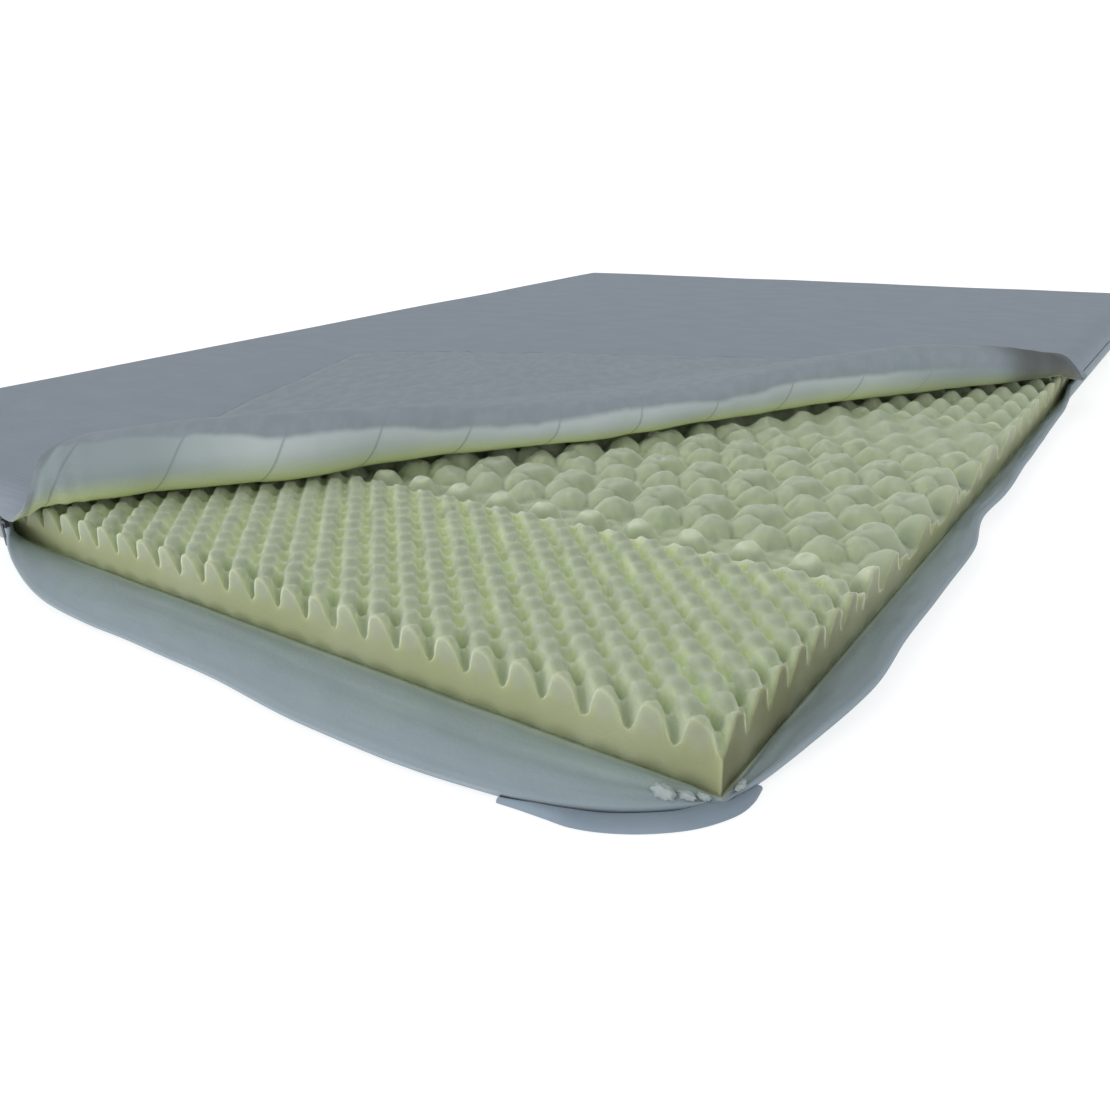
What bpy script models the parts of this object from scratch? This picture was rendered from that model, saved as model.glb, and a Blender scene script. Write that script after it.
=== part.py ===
"""Egg-crate foam mattress topper in a zip-off quilted cover, one corner unzipped.

The foam core lies flat. The cover has a base panel, a padded border wall and a quilted lid,
joined by a zip. Round the near corner (+X, -Y) the zip is open: the lid is turned back
diagonally in a loose roll and the border wall has slumped outwards.

Lengths are metres. On the plan, `a` runs from the open corner along the short side (to -X)
and `b` runs from the open corner along the long side (to +Y).
"""
import bpy
import bmesh
from math import sin, cos, pi, floor
from mathutils import Vector
from mathutils.geometry import delaunay_2d_cdt

# ---------------------------------------------------------------- driving sizes
WIDTH, LENGTH = 1.400, 2.000      # foam, across (a) and along (b)
BASE_T = 0.0030                   # base panel
GAP = 0.0003                      # between pieces that touch
FOAM_BOTTOM = BASE_T + GAP
PEAK = 0.0560                     # top of the tallest foam peaks
EDGE_CAP = 0.0420                 # foam's top edge where the closed cover rounds it
CAP_RUN = 0.020                   # width of that rounding

# zones of the convoluted foam along b: start, pitches, where a peak stands, valley height
ZONES = (
    dict(name="small", start=0.000, pitch_a=0.0340, pitch_b=0.0340, peak_a=0.0160,
         peak_b=0.0020, valley=0.0305),
    dict(name="blocks", start=0.2590, pitch_a=0.0550, pitch_b=0.0490, peak_a=0.0040,
         peak_b=0.2730, valley=0.0270),
    dict(name="large", start=0.6430, pitch_a=0.0550, pitch_b=0.0980, peak_a=0.0540,
         peak_b=0.6890, valley=0.0270),
)
# rows of the middle zone: place along b, where a peak stands, height, flatness of the crest
BLOCK_ROWS = (
    (0.273, 0.0040, 1.00, 0.0), (0.322, 0.0040, 0.72, 0.0), (0.369, 0.0280, 0.97, 1.0),
    (0.418, 0.0040, 0.74, 0.0), (0.468, 0.0280, 0.97, 1.0), (0.518, 0.0040, 0.74, 0.0),
    (0.568, 0.0280, 0.97, 1.0), (0.618, 0.0040, 0.78, 0.0),
)

# lid: half thickness at a stitched channel, extra at the crown, and the channel pitch
LID_HALF, LID_CROWN, CHANNEL = 0.0030, 0.0030, 0.0880
CHANNEL_START = -0.0150
LID_MID = PEAK + 0.0005 + LID_HALF + LID_CROWN
HEM = 0.0236                      # cloth beyond the foam's edge
SHOULDER_R, SHOULDER_IN = 0.0300, 0.0200
CORNER_R = SHOULDER_IN            # plan radius of the three closed corners
FOLD_A, FOLD_B = 0.740, 1.070     # where the fold's outer line meets the two foam edges
REST_LIFT = 0.0165                # flap's middle above the lid's middle where it lies down
SINK_RUN = 0.160                  # distance over which the flap sinks onto the lid

# roll: distance along the fold from the left edge, radius of the roll's middle surface
ROLL = ((-0.10, 0.0240), (0.05, 0.0290), (0.20, 0.0290), (0.38, 0.0240), (0.58, 0.0165),
        (0.74, 0.0165), (0.95, 0.0215), (1.15, 0.0190), (1.30, 0.0150), (1.45, 0.0150))
# how far the roll's front bulges past the fold line, at distances along the fold
BULGE = ((0.00, 0.010), (0.12, 0.015), (0.24, 0.026), (0.37, 0.006), (0.54, 0.020),
         (0.66, 0.016), (0.80, 0.003), (1.10, 0.005), (1.25, 0.008))

# border wall: distance from the open corner, how far its free edge lies out, the free edge's
# height, and the rise of the cloth between; the same columns for both open sides
WALL_LEFT = ((0.000, 0.0075, 0.0045, 0.000), (0.028, 0.026, 0.0045, 0.001),
             (0.056, 0.046, 0.0045, 0.003), (0.097, 0.062, 0.0045, 0.004),
             (0.145, 0.070, 0.0045, 0.005), (0.287, 0.078, 0.0045, 0.006),
             (0.413, 0.071, 0.0050, 0.006), (0.588, 0.069, 0.0060, 0.006),
             (0.670, 0.062, 0.0090, 0.005), (0.740, 0.046, 0.0160, 0.003),
             (0.800, 0.020, 0.0280, 0.000), (0.830, 0.009, 0.0325, 0.000))
WALL_RIGHT = ((0.000, 0.0075, 0.0045, 0.000), (0.033, 0.012, 0.0050, 0.000),
              (0.080, 0.026, 0.0120, -0.001), (0.183, 0.040, 0.0180, -0.003),
              (0.277, 0.040, 0.0190, -0.003), (0.434, 0.033, 0.0190, -0.003),
              (0.503, 0.037, 0.0190, -0.003), (0.603, 0.026, 0.0190, -0.002),
              (0.684, 0.030, 0.0200, -0.002), (0.923, 0.024, 0.0220, -0.001),
              (1.080, 0.018, 0.0260, 0.000), (1.160, 0.009, 0.0325, 0.000))
WALL_HALF, WALL_RIM = 0.0040, 0.0026
WALL_FOOT = 0.0016                # middle of the wall's foot, out from the foam
CLOSED_BULGE = 0.0050

# smooth facing round the open corner, outside the wall's free edge: plan points a, b
FACING_OUT = ((0.128, -0.0685), (0.110, -0.0715), (0.088, -0.0740), (0.066, -0.0690),
              (0.047, -0.0610), (0.029, -0.0510), (0.009, -0.0350), (-0.006, -0.0190),
              (-0.0150, -0.0020), (-0.0170, 0.0140), (-0.0160, 0.0280))
FACING_T = 0.0060

ZIP_Z, ZIP_OUT, ZIP_R = 0.0343, 0.0098, 0.0014
SLIDER_OUT = 0.0183
ZIP_LEFT, ZIP_RIGHT = 0.832, 1.165   # ends of the closed zip, from the open corner


# ---------------------------------------------------------------- helpers
def place(a, b, z):
    """Plan distances from the open corner to a world point."""
    return Vector((WIDTH / 2 - a, b - LENGTH / 2, z))


def smooth(x):
    x = min(1.0, max(0.0, x))
    return x * x * (3 - 2 * x)


def table(rows, x, column=1):
    """Value of a column at x, eased between the rows of a table."""
    if x <= rows[0][0]:
        return rows[0][column]
    for low, high in zip(rows, rows[1:]):
        if x <= high[0]:
            k = smooth((x - low[0]) / (high[0] - low[0]))
            return low[column] + (high[column] - low[column]) * k
    return rows[-1][column]


def material(name, colour, roughness):
    mat = bpy.data.materials.new(name)
    mat.use_nodes = True
    shader = mat.node_tree.nodes["Principled BSDF"]
    shader.inputs["Base Color"].default_value = (*colour, 1.0)
    shader.inputs["Roughness"].default_value = roughness
    shader.inputs["Metallic"].default_value = 0.0
    mat.diffuse_color = (*colour, 1.0)
    return mat


def new_object(name, verts, faces, mat, smooth_shade=True):
    """A mesh object in the parts collection, with outward faces."""
    mesh = bpy.data.meshes.new(name)
    mesh.from_pydata([tuple(v) for v in verts], [], faces)
    mesh.validate()
    bm = bmesh.new()
    bm.from_mesh(mesh)
    bmesh.ops.recalc_face_normals(bm, faces=bm.faces)
    if bm.calc_volume(signed=True) < 0:
        bmesh.ops.reverse_faces(bm, faces=bm.faces)
    bm.to_mesh(mesh)
    bm.free()
    if smooth_shade:
        mesh.shade_smooth()
        mesh.set_sharp_from_angle(angle=0.9)
    mesh.materials.append(mat)
    obj = bpy.data.objects.new(name, mesh)
    bpy.data.collections["mattress_topper"].objects.link(obj)
    return obj


# ---------------------------------------------------------------- foam core
def fold_distance(a, b):
    """Distance of a plan point from the open corner, square to the fold line."""
    n = Vector((1 / FOLD_A, 1 / FOLD_B)).normalized()
    return a * n.x + b * n.y


FOLD_N = Vector((1 / FOLD_A, 1 / FOLD_B)).normalized()
FOLD_D = FOLD_A * FOLD_N.x
SHOWN = FOLD_D + 0.095            # the lattice runs this far, under the lid


def zone_height(zone, a, b):
    """Height of one zone's convoluted surface, 0 in a valley and 1 on a peak."""
    if zone["name"] != "blocks":
        u = 2 * pi * (a - zone["peak_a"]) / zone["pitch_a"]
        v = 2 * pi * (b - zone["peak_b"]) / zone["pitch_b"]
        return (0.5 + 0.5 * cos(u) * cos(v)) ** 0.85
    total = 0.0
    for row, peak_a, height, crest in BLOCK_ROWS:
        across = abs(b - row) / (0.62 * zone["pitch_b"])
        if across >= 1.0:
            continue
        u = abs(sin(pi * (a - peak_a) / zone["pitch_a"]))     # 0 on a peak, 1 between
        along = 1 - u ** (2 + 3 * crest)
        bump = height * (0.12 + 0.88 * along) * cos(pi / 2 * across)
        total += max(0.0, bump) ** 5
    return min(1.0, total ** 0.2)


def lattice(a, b):
    """Height of the foam's top where it shows."""
    zone = [z for z in ZONES if b >= z["start"] - 1e-6][-1]
    return zone["valley"] + (PEAK - zone["valley"]) * zone_height(zone, a, b)


def closed_cap(a, b):
    """Highest the foam reaches near the edges that the closed cover rounds."""
    left = smooth((a - 0.775) / 0.04)
    right = smooth((b - 1.100) / 0.04)
    cap = PEAK
    for dist, weight in ((WIDTH - a, 1.0), (LENGTH - b, 1.0), (b, left), (a, right)):
        edge = EDGE_CAP + (PEAK - EDGE_CAP) * min(1.0, max(0.0, dist) / CAP_RUN)
        cap = min(cap, PEAK + (edge - PEAK) * weight)
    return cap


def foam_height(a, b):
    shown = fold_distance(a, b) < SHOWN
    return min(lattice(a, b) if shown else PEAK, closed_cap(a, b))


def zone_grid(zone):
    """Steps of a zone's point grid: along a, along b and whether cells get a middle point."""
    if zone["name"] == "blocks":
        return zone["pitch_a"] / 4, zone["pitch_b"] / 2, False
    if zone["name"] == "large":
        return zone["pitch_a"] / 2, zone["pitch_b"] / 4, True
    return zone["pitch_a"] / 2, zone["pitch_b"] / 2, True


def lattice_points():
    """Peaks, valleys and the points between them, zone by zone, in plan."""
    points = []
    ends = [z["start"] for z in ZONES[1:]] + [LENGTH]
    for zone, end in zip(ZONES, ends):
        step_a, step_b, middle = zone_grid(zone)
        j0 = floor((zone["start"] - zone["peak_b"]) / step_b) - 1
        for j in range(j0, j0 + int((end - zone["start"]) / step_b) + 4):
            for half in ((0, 1) if middle else (0,)):
                b = zone["peak_b"] + (j + 0.5 * half) * step_b
                if not zone["start"] + 0.003 < b < end - 0.003:
                    continue
                a = zone["peak_a"] % step_a + 0.5 * half * step_a - step_a
                while a < WIDTH:
                    if a > 0.003 and b > 0.003 and fold_distance(a, b) < SHOWN:
                        points.append((a, b))
                    a += step_a
    return points


def edge_points():
    """Distances along the two open sides at which the foam's rim has a point."""
    near, right = [0.0], [0.0]
    step = ZONES[0]["pitch_a"] / 4
    a = ZONES[0]["peak_a"] % step
    while a < 0.86:
        if a > 0.002:
            near.append(a)
        a += step
    near += [1.0, 1.2]
    ends = [z["start"] for z in ZONES[1:]] + [1.24]
    for zone, end in zip(ZONES, ends):
        step = zone["pitch_b"] / (8 if zone["name"] == "large" else 4)
        b = zone["start"] + (zone["peak_b"] - zone["start"]) % step
        while b < end - 0.002:
            if b > right[-1] + 0.002:
                right.append(b)
            b += step
    right += [1.45, 1.7]
    return near, right


def corner_arc(ca, cb, first, count=4):
    """Plan points of a closed corner, from one side to the next, anticlockwise in (a, b)."""
    return [(ca + CORNER_R * cos(first + pi / 2 * k / count),
             cb + CORNER_R * sin(first + pi / 2 * k / count)) for k in range(count + 1)]


def foam_core(mat):
    near, right = edge_points()
    arcs = [corner_arc(WIDTH - CORNER_R, CORNER_R, -pi / 2),
            corner_arc(WIDTH - CORNER_R, LENGTH - CORNER_R, 0.0),
            corner_arc(CORNER_R, LENGTH - CORNER_R, pi / 2)]
    outline = [(a, 0.0) for a in near] + arcs[0]
    outline += [(WIDTH, b) for b in (0.5, 1.0, 1.5)] + arcs[1]
    outline += [(a, LENGTH) for a in (0.9, 0.4)] + arcs[2]
    outline += [(0.0, b) for b in right[:0:-1]]
    inner = lattice_points()
    inset = CAP_RUN + 0.001
    inner += [(WIDTH - inset, b) for b in (inset, 0.5, 1.0, 1.5, LENGTH - inset)]
    inner += [(a, LENGTH - inset) for a in (0.9, 0.4, inset)]
    inner += [(a, inset) for a in (0.90, 1.0, 1.2)]
    inner += [(inset, b) for b in (1.27, 1.45, 1.7)]
    n = len(outline)
    plan = [Vector(p) for p in outline + inner]
    ring = [(i, (i + 1) % n) for i in range(n)]
    verts, _, tris, *_ = delaunay_2d_cdt(plan, ring, [list(range(n))], 1, 1e-6)
    solid = [place(v.x, v.y, foam_height(v.x, v.y)) for v in verts]
    index = {(round(v.x, 5), round(v.y, 5)): i for i, v in enumerate(verts)}
    rim = [index[(round(a, 5), round(b, 5))] for a, b in outline]
    faces = [list(t) for t in tris]
    # each side drops to the flat underside: one face a straight side, one a step of a corner
    stops = [(0.0, 0.0)] + [p for arc in arcs for p in arc]
    base, marks = [], []
    for a, b in stops:
        marks.append(rim.index(index[(round(a, 5), round(b, 5))]))
        base.append(len(solid))
        solid.append(place(a, b, FOAM_BOTTOM))
    for k, mark in enumerate(marks):
        after = marks[k + 1] if k + 1 < len(marks) else n
        side = [rim[i % n] for i in range(mark, after + 1)]
        faces.append(side + [base[(k + 1) % len(base)], base[k]])
    faces.append(base[::-1])
    return new_object("foam_core", solid, faces, mat)


# ---------------------------------------------------------------- lid
def roll_radius(t):
    return table(ROLL, t + FOLD_A * FOLD_N.y)


def roll_bulge(t, s, start, r):
    """Outward travel of the roll's front, none on the flat lid and none on the flap."""
    if s >= start:
        weight = 1 - smooth((s - start) / 0.080)
    else:
        weight = 1 - smooth(((start - s) / (pi * r) - 0.45) / 0.55)
    return weight * table(BULGE, t + FOLD_A * FOLD_N.y)


def edge_drop(ea, eb):
    """Travel in a, in b and downwards of cloth that is ea, eb past the shoulder's start."""
    e = (ea * ea + eb * eb) ** 0.5
    if e < 1e-9:
        return 0.0, 0.0, 0.0
    turn = min(e / SHOULDER_R, pi / 2)
    rest = max(0.0, e - SHOULDER_R * pi / 2)
    scale = SHOULDER_R * sin(turn) / e - 1.0
    return ea * scale, eb * scale, SHOULDER_R * (1 - cos(turn)) + rest


def lid_middle(p, q):
    """Where a point of the flat lid, p and q from its open corner, lies in the folded lid."""
    s = p * FOLD_N.x + q * FOLD_N.y
    t = -p * FOLD_N.y + q * FOLD_N.x
    r = roll_radius(t)
    start = FOLD_D + LID_HALF + LID_CROWN + r
    if s >= start:
        pos, z = s, LID_MID
    elif s >= start - pi * r:
        turn = (start - s) / r
        pos, z = start - r * sin(turn), LID_MID + r * (1 - cos(turn))
    else:
        run = start - pi * r - s
        pos = start + run
        z = LID_MID + 2 * r - (2 * r - REST_LIFT) * smooth(run / SINK_RUN)
    pos -= roll_bulge(t, s, start, r)
    a = FOLD_N.x * pos - FOLD_N.y * t
    b = FOLD_N.y * pos + FOLD_N.x * t
    # closed edges turn down over the foam
    free = smooth((s - start - 0.004) / 0.055)
    ea, sign_a = (p - WIDTH, 1) if p > WIDTH / 2 else (-p, -1)
    eb, sign_b = (q - LENGTH, 1) if q > LENGTH / 2 else (-q, -1)
    out_a, out_b, down = edge_drop(max(0.0, ea + SHOULDER_IN), max(0.0, eb + SHOULDER_IN))
    a += sign_a * out_a * free
    b += sign_b * out_b * free
    z -= down * free
    # the roll's ends hang down a little past the foam
    past = max(0.0, -b - 0.004) + max(0.0, -a - 0.004)
    z -= (1 - free) * min(0.016, 0.55 * past)
    return place(a, b, z)


def lid_half(p, q):
    """Half thickness of the quilted lid: thin at the stitched channels and the hem."""
    wave = abs(sin(pi * (q - CHANNEL_START) / CHANNEL))
    half = LID_HALF + LID_CROWN * wave ** 0.6
    inset = HEM + SHOULDER_IN - shoulder_depth(p, q)
    return 0.0022 + (half - 0.0022) * smooth(inset / 0.018)


def shoulder_depth(p, q):
    """How far a flat point lies past the start of the shoulders."""
    past_a = max(0.0, abs(p - WIDTH / 2) - (WIDTH / 2 - SHOULDER_IN))
    past_b = max(0.0, abs(q - LENGTH / 2) - (LENGTH / 2 - SHOULDER_IN))
    return (past_a ** 2 + past_b ** 2) ** 0.5


def lid_lines():
    """Lines of points on the flat lid: round the roll, along the channels, on the shoulders."""
    lines = []
    t0, t1, count = -FOLD_A * FOLD_N.y, FOLD_B * FOLD_N.x, 33
    before = [0.045, 0.020]
    after = [0.035, 0.075, 0.115, 0.155]
    for k in range(len(before) + 8 + len(after)):
        line = []
        for i in range(-1, count + 2):
            t = t0 + (t1 - t0) * i / count
            r = roll_radius(t)
            start = FOLD_D + LID_HALF + LID_CROWN + r
            if k < 2:
                s = start + before[k]
            elif k < 10:
                s = start - pi * r * (k - 2) / 7
            else:
                s = start - pi * r - after[k - 10]
            line.append((FOLD_N.x * s - FOLD_N.y * t, FOLD_N.y * s + FOLD_N.x * t))
        lines.append(line)
    columns = [WIDTH * i / 12 for i in range(13)]
    rows = [CHANNEL_START + CHANNEL / 2 * j for j in range(1, 46)]
    for q in rows:
        line = []
        for p in columns[1:-1]:
            s = p * FOLD_N.x + q * FOLD_N.y
            if s < FOLD_D - 0.26 or s > FOLD_D + 0.085:
                line.append((p, q))
        lines.append(line)
    steps = [(HEM + SHOULDER_IN) * k / 4 for k in range(4)]
    for depth in steps:
        e = depth - SHOULDER_IN
        lines.append([(WIDTH + e, q) for q in rows if 0.02 < q < LENGTH - 0.03])
        lines.append([(p, LENGTH + e) for p in columns[1:-1]])
        lines.append([(p, -e) for p in columns[1:-1] if p > 0.86 or p < 0.40])
        lines.append([(-e, q) for q in rows if q > 1.24 or 0.02 < q < 0.66])
        for p0, q0, first in ((WIDTH - SHOULDER_IN, SHOULDER_IN, -pi / 2),
                              (WIDTH - SHOULDER_IN, LENGTH - SHOULDER_IN, 0.0),
                              (SHOULDER_IN, LENGTH - SHOULDER_IN, pi / 2),
                              (SHOULDER_IN, SHOULDER_IN, pi)):
            turns = [first + pi / 2 * k / 3 for k in range(4)] if depth else [first]
            lines.append([(p0 + depth * cos(turn), q0 + depth * sin(turn)) for turn in turns])
    return lines


def hem_arc(p, q, first, count=6):
    """A rounded corner of the flat hem, round p, q."""
    r = HEM + SHOULDER_IN
    return [(p + r * cos(first + pi / 2 * k / count), q + r * sin(first + pi / 2 * k / count))
            for k in range(count + 1)]


def lid_outline():
    """The hem of the flat lid, anticlockwise in (p, q), finer where it is folded."""
    near, far_p, far_q = SHOULDER_IN, WIDTH - SHOULDER_IN, LENGTH - SHOULDER_IN
    low, high_p, high_q = -HEM, WIDTH + HEM, LENGTH + HEM
    ps = [0.09 * i for i in range(1, 6)] + [0.50 + 0.022 * i for i in range(0, 17)]
    ps += [WIDTH * i / 12 for i in range(8, 12)]
    qs = [0.10 * i for i in range(1, 8)] + [0.76 + 0.026 * i for i in range(0, 19)]
    qs += [CHANNEL_START + CHANNEL * i for i in range(15, 23)]
    ring = hem_arc(near, near, pi) + [(p, low) for p in ps]
    ring += hem_arc(far_p, near, -pi / 2)
    ring += [(high_p, CHANNEL_START + CHANNEL * i) for i in range(1, 23)]
    ring += hem_arc(far_p, far_q, 0.0)
    ring += [(WIDTH * i / 12, high_q) for i in range(11, 0, -1)]
    ring += hem_arc(near, far_q, pi / 2) + [(low, q) for q in qs[::-1]]
    return ring


def lid_panel(mat):
    ring = lid_outline()
    n = len(ring)
    plan = [Vector(p) for p in ring]
    edges = [(i, (i + 1) % n) for i in range(n)]
    for line in lid_lines():
        last = None
        for p, q in line:
            if shoulder_depth(p, q) > HEM + SHOULDER_IN - 0.004:
                last = None
                continue
            plan.append(Vector((p, q)))
            if last is not None and (plan[last] - plan[-1]).length < 0.13:
                edges.append((last, len(plan) - 1))
            last = len(plan) - 1
    flat, _, tris, *_ = delaunay_2d_cdt(plan, edges, [list(range(n))], 1, 1e-4)
    step = 0.002
    upper, lower = [], []
    for v in flat:
        mid = lid_middle(v.x, v.y)
        along_p = lid_middle(v.x + step, v.y) - lid_middle(v.x - step, v.y)
        along_q = lid_middle(v.x, v.y + step) - lid_middle(v.x, v.y - step)
        normal = along_q.cross(along_p).normalized()
        half = lid_half(v.x, v.y)
        upper.append(mid + normal * half)
        lower.append(mid - normal * half)
    m = len(flat)
    count = {}
    for tri in tris:
        for i in range(3):
            e = (tri[i], tri[(i + 1) % 3])
            count[e] = True
    faces = [list(t) for t in tris] + [[i + m for i in reversed(t)] for t in tris]
    for (i, j) in count:
        if (j, i) not in count:
            faces.append([j, i, i + m, j + m])
    return new_object("lid_panel", upper + lower, faces, mat)


# ---------------------------------------------------------------- border wall
def perimeter():
    """Stations round the foam: plan point, outward direction, and the open side's table."""
    stations = []
    for d in (0.70, 0.60, 0.50, 0.42, 0.34, 0.27, 0.20, 0.155, 0.12, 0.09, 0.065, 0.045, 0.028,
              0.014):
        stations.append((d, 0.0, Vector((0, -1)), WALL_LEFT, d))
    for k in range(7):
        turn = pi / 2 * k / 6
        stations.append((0.0, 0.0, Vector((-sin(turn), -cos(turn))), WALL_LEFT, 0.0))
    for d in (0.014, 0.033, 0.055, 0.08, 0.12, 0.17, 0.23, 0.29, 0.35, 0.41, 0.47, 0.53, 0.58,
              0.63, 0.69, 0.76, 0.84, 0.92, 1.0, 1.06, 1.10, 1.13, 1.16, 1.2, 1.5, 1.8):
        stations.append((0.0, d, Vector((-1, 0)), WALL_RIGHT, d))

    def corner(ca, cb, first):
        for k in range(7):
            turn = first - pi / 2 * k / 6
            n = Vector((cos(turn), sin(turn)))
            stations.append((ca + CORNER_R * n.x, cb + CORNER_R * n.y, n, None, 0))

    corner(CORNER_R, LENGTH - CORNER_R, pi)
    stations += [(a, LENGTH, Vector((0, 1)), None, 0) for a in (0.4, 0.9)]
    corner(WIDTH - CORNER_R, LENGTH - CORNER_R, pi / 2)
    stations += [(WIDTH, b, Vector((1, 0)), None, 0) for b in (1.5, 1.0, 0.5)]
    corner(WIDTH - CORNER_R, CORNER_R, 0.0)
    stations += [(d, 0.0, Vector((0, -1)), WALL_LEFT, d)
                 for d in (1.2, 1.0, 0.87, 0.83, 0.805, 0.78, 0.75)]
    return stations


def wall_section(rows, d):
    """Free edge (out, height) and bulges of the wall at a station."""
    if rows is None:
        return 0.009, 0.0325, 0.0, CLOSED_BULGE
    out, rise, up = (table(rows, d, c) for c in (1, 2, 3))
    closed = smooth((rise - 0.020) / 0.0125)
    return out, rise, up, CLOSED_BULGE * closed


def border_wall(mat):
    levels = 7
    verts, faces, loops = [], [], []
    for a, b, n, rows, d in perimeter():
        out, rise, up, side = wall_section(rows, d)
        foot = 0.0048
        line = []
        for k in range(levels + 1):
            v = k / levels
            o = WALL_FOOT + (out - WALL_FOOT) * v + side * sin(pi * v)
            z = foot + (rise - foot) * v + up * sin(pi * v)
            line.append(Vector((o, z)))
        ring = []
        width = min(1.0, max(0.35, (Vector((out, rise)) - line[0]).length / 0.024))
        for sign, order in ((1, range(levels + 1)), (-1, range(levels, -1, -1))):
            for k in order:
                tangent = line[min(k + 1, levels)] - line[max(k - 1, 0)]
                tangent.normalize()
                normal = Vector((-tangent.y, tangent.x))
                v = k / levels
                half = (WALL_RIM + (WALL_HALF - WALL_RIM) * smooth(min(v, 1 - v) / 0.25)) * width
                pt = line[k] + normal * half * sign
                ring.append((max(0.0005, pt.x), max(0.0, pt.y)))
        start = len(verts)
        for o, z in ring:
            verts.append(place(a + n.x * o, b + n.y * o, z))
        loops.append(list(range(start, start + len(ring))))
    size = len(loops[0])
    for one, two in zip(loops, loops[1:] + loops[:1]):
        for k in range(size):
            faces.append([one[k], one[(k + 1) % size], two[(k + 1) % size], two[k]])
    return new_object("border_wall", verts, faces, mat)


# ---------------------------------------------------------------- small pieces
def base_panel(mat):
    bpy.ops.mesh.primitive_cube_add(size=1, location=(0, 0, BASE_T / 2))
    obj = bpy.context.object
    obj.name = obj.data.name = "base_panel"
    obj.scale = (WIDTH - 0.004, LENGTH - 0.004, BASE_T)
    bpy.ops.object.transform_apply(location=False, rotation=False, scale=True)
    for c in list(obj.users_collection):
        c.objects.unlink(obj)
    bpy.data.collections["mattress_topper"].objects.link(obj)
    obj.data.materials.append(mat)
    return obj


def wall_edge_point(rows, d, a, b, n):
    out, rise, _, _ = wall_section(rows, d)
    return Vector((a + n.x * out, b + n.y * out))


def corner_edge():
    """The wall's free edge round the open corner: points, and the way out at each."""
    edge = []
    for a, b, n, rows, d in perimeter():
        if rows is None or d >= 0.15:
            continue
        point = wall_edge_point(rows, d, a, b, n)
        if point.x < 0.125 and point.y < 0.034:
            edge.append((point, n))
    return edge


def along(points, k):
    """The point a fraction k along a line of points."""
    total = [0.0]
    for u, v in zip(points, points[1:]):
        total.append(total[-1] + (v - u).length)
    x = total[-1] * k
    for i in range(len(points) - 1):
        if x <= total[i + 1] + 1e-9:
            f = (x - total[i]) / max(1e-9, total[i + 1] - total[i])
            return points[i].lerp(points[i + 1], f)
    return points[-1]


def corner_facing(mat):
    """A padded strip that lies outside the wall's free edge round the open corner."""
    outer = [Vector(p) for p in FACING_OUT]
    edge = [point + n * 0.0034 for point, n in corner_edge()]
    length = [0.0]
    for u, v in zip(edge, edge[1:]):
        length.append(length[-1] + (v - u).length)
    verts, faces, loops = [], [], []
    for point, reach in zip(edge, length):
        k = reach / length[-1]
        o = along(outer, k)
        top = FACING_T * min(1.0, 0.35 + 2.6 * min(k, 1 - k))
        ring = []
        for u, z in ((0.0, 0.0), (0.0, 0.55), (0.25, 0.9), (0.6, 1.0), (0.88, 0.72), (1.0, 0.30),
                     (1.0, 0.0)):
            p = point.lerp(o, u)
            ring.append(place(p.x, p.y, z * top))
        start = len(verts)
        verts += ring
        loops.append(list(range(start, start + len(ring))))
    size = len(loops[0])
    for one, two in zip(loops, loops[1:]):
        for k in range(size):
            faces.append([one[k], one[(k + 1) % size], two[(k + 1) % size], two[k]])
    faces.append(loops[0][::-1])
    faces.append(loops[-1])
    return new_object("corner_facing", verts, faces, mat)


def corner_teeth(mat):
    """The open half of the zip, in the seam between the wall's edge and the facing."""
    line = [point + n * 0.0017 for point, n in corner_edge()]
    return tube("corner_teeth", [place(p.x, p.y, 0.0026) for p in line], 0.0009, mat)


def tube(name, points, radius, mat, resolution=1):
    curve = bpy.data.curves.new(name, 'CURVE')
    curve.dimensions = '3D'
    curve.bevel_depth = radius
    curve.bevel_resolution = resolution
    curve.use_fill_caps = True
    spline = curve.splines.new('POLY')
    spline.points.add(len(points) - 1)
    for point, co in zip(spline.points, points):
        point.co = (*co, 1.0)
    curve.materials.append(mat)
    obj = bpy.data.objects.new(name, curve)
    bpy.data.collections["mattress_topper"].objects.link(obj)
    return obj


def zip_chain(mat):
    """The closed zip, along the seam from one end of the opening round to the other."""
    points = [place(0.0 - ZIP_OUT, ZIP_RIGHT, ZIP_Z)]
    r = CORNER_R + ZIP_OUT
    for ca, cb, first in ((CORNER_R, LENGTH - CORNER_R, pi),
                          (WIDTH - CORNER_R, LENGTH - CORNER_R, pi / 2),
                          (WIDTH - CORNER_R, CORNER_R, 0.0)):
        for k in range(9):
            turn = first - pi / 2 * k / 8
            points.append(place(ca + r * cos(turn), cb + r * sin(turn), ZIP_Z))
    points.append(place(ZIP_LEFT, -ZIP_OUT, ZIP_Z))
    return tube("zip_chain", points, ZIP_R, mat)


def block(name, size, centre, turn, mat, bevel=0.0006):
    bpy.ops.mesh.primitive_cube_add(size=1, location=centre, rotation=turn)
    obj = bpy.context.object
    obj.name = obj.data.name = name
    obj.scale = size
    bpy.ops.object.transform_apply(location=False, rotation=False, scale=True)
    mod = obj.modifiers.new("soft edges", 'BEVEL')
    mod.width = bevel
    mod.segments = 2
    for c in list(obj.users_collection):
        c.objects.unlink(obj)
    bpy.data.collections["mattress_topper"].objects.link(obj)
    obj.data.materials.append(mat)
    return obj


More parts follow.
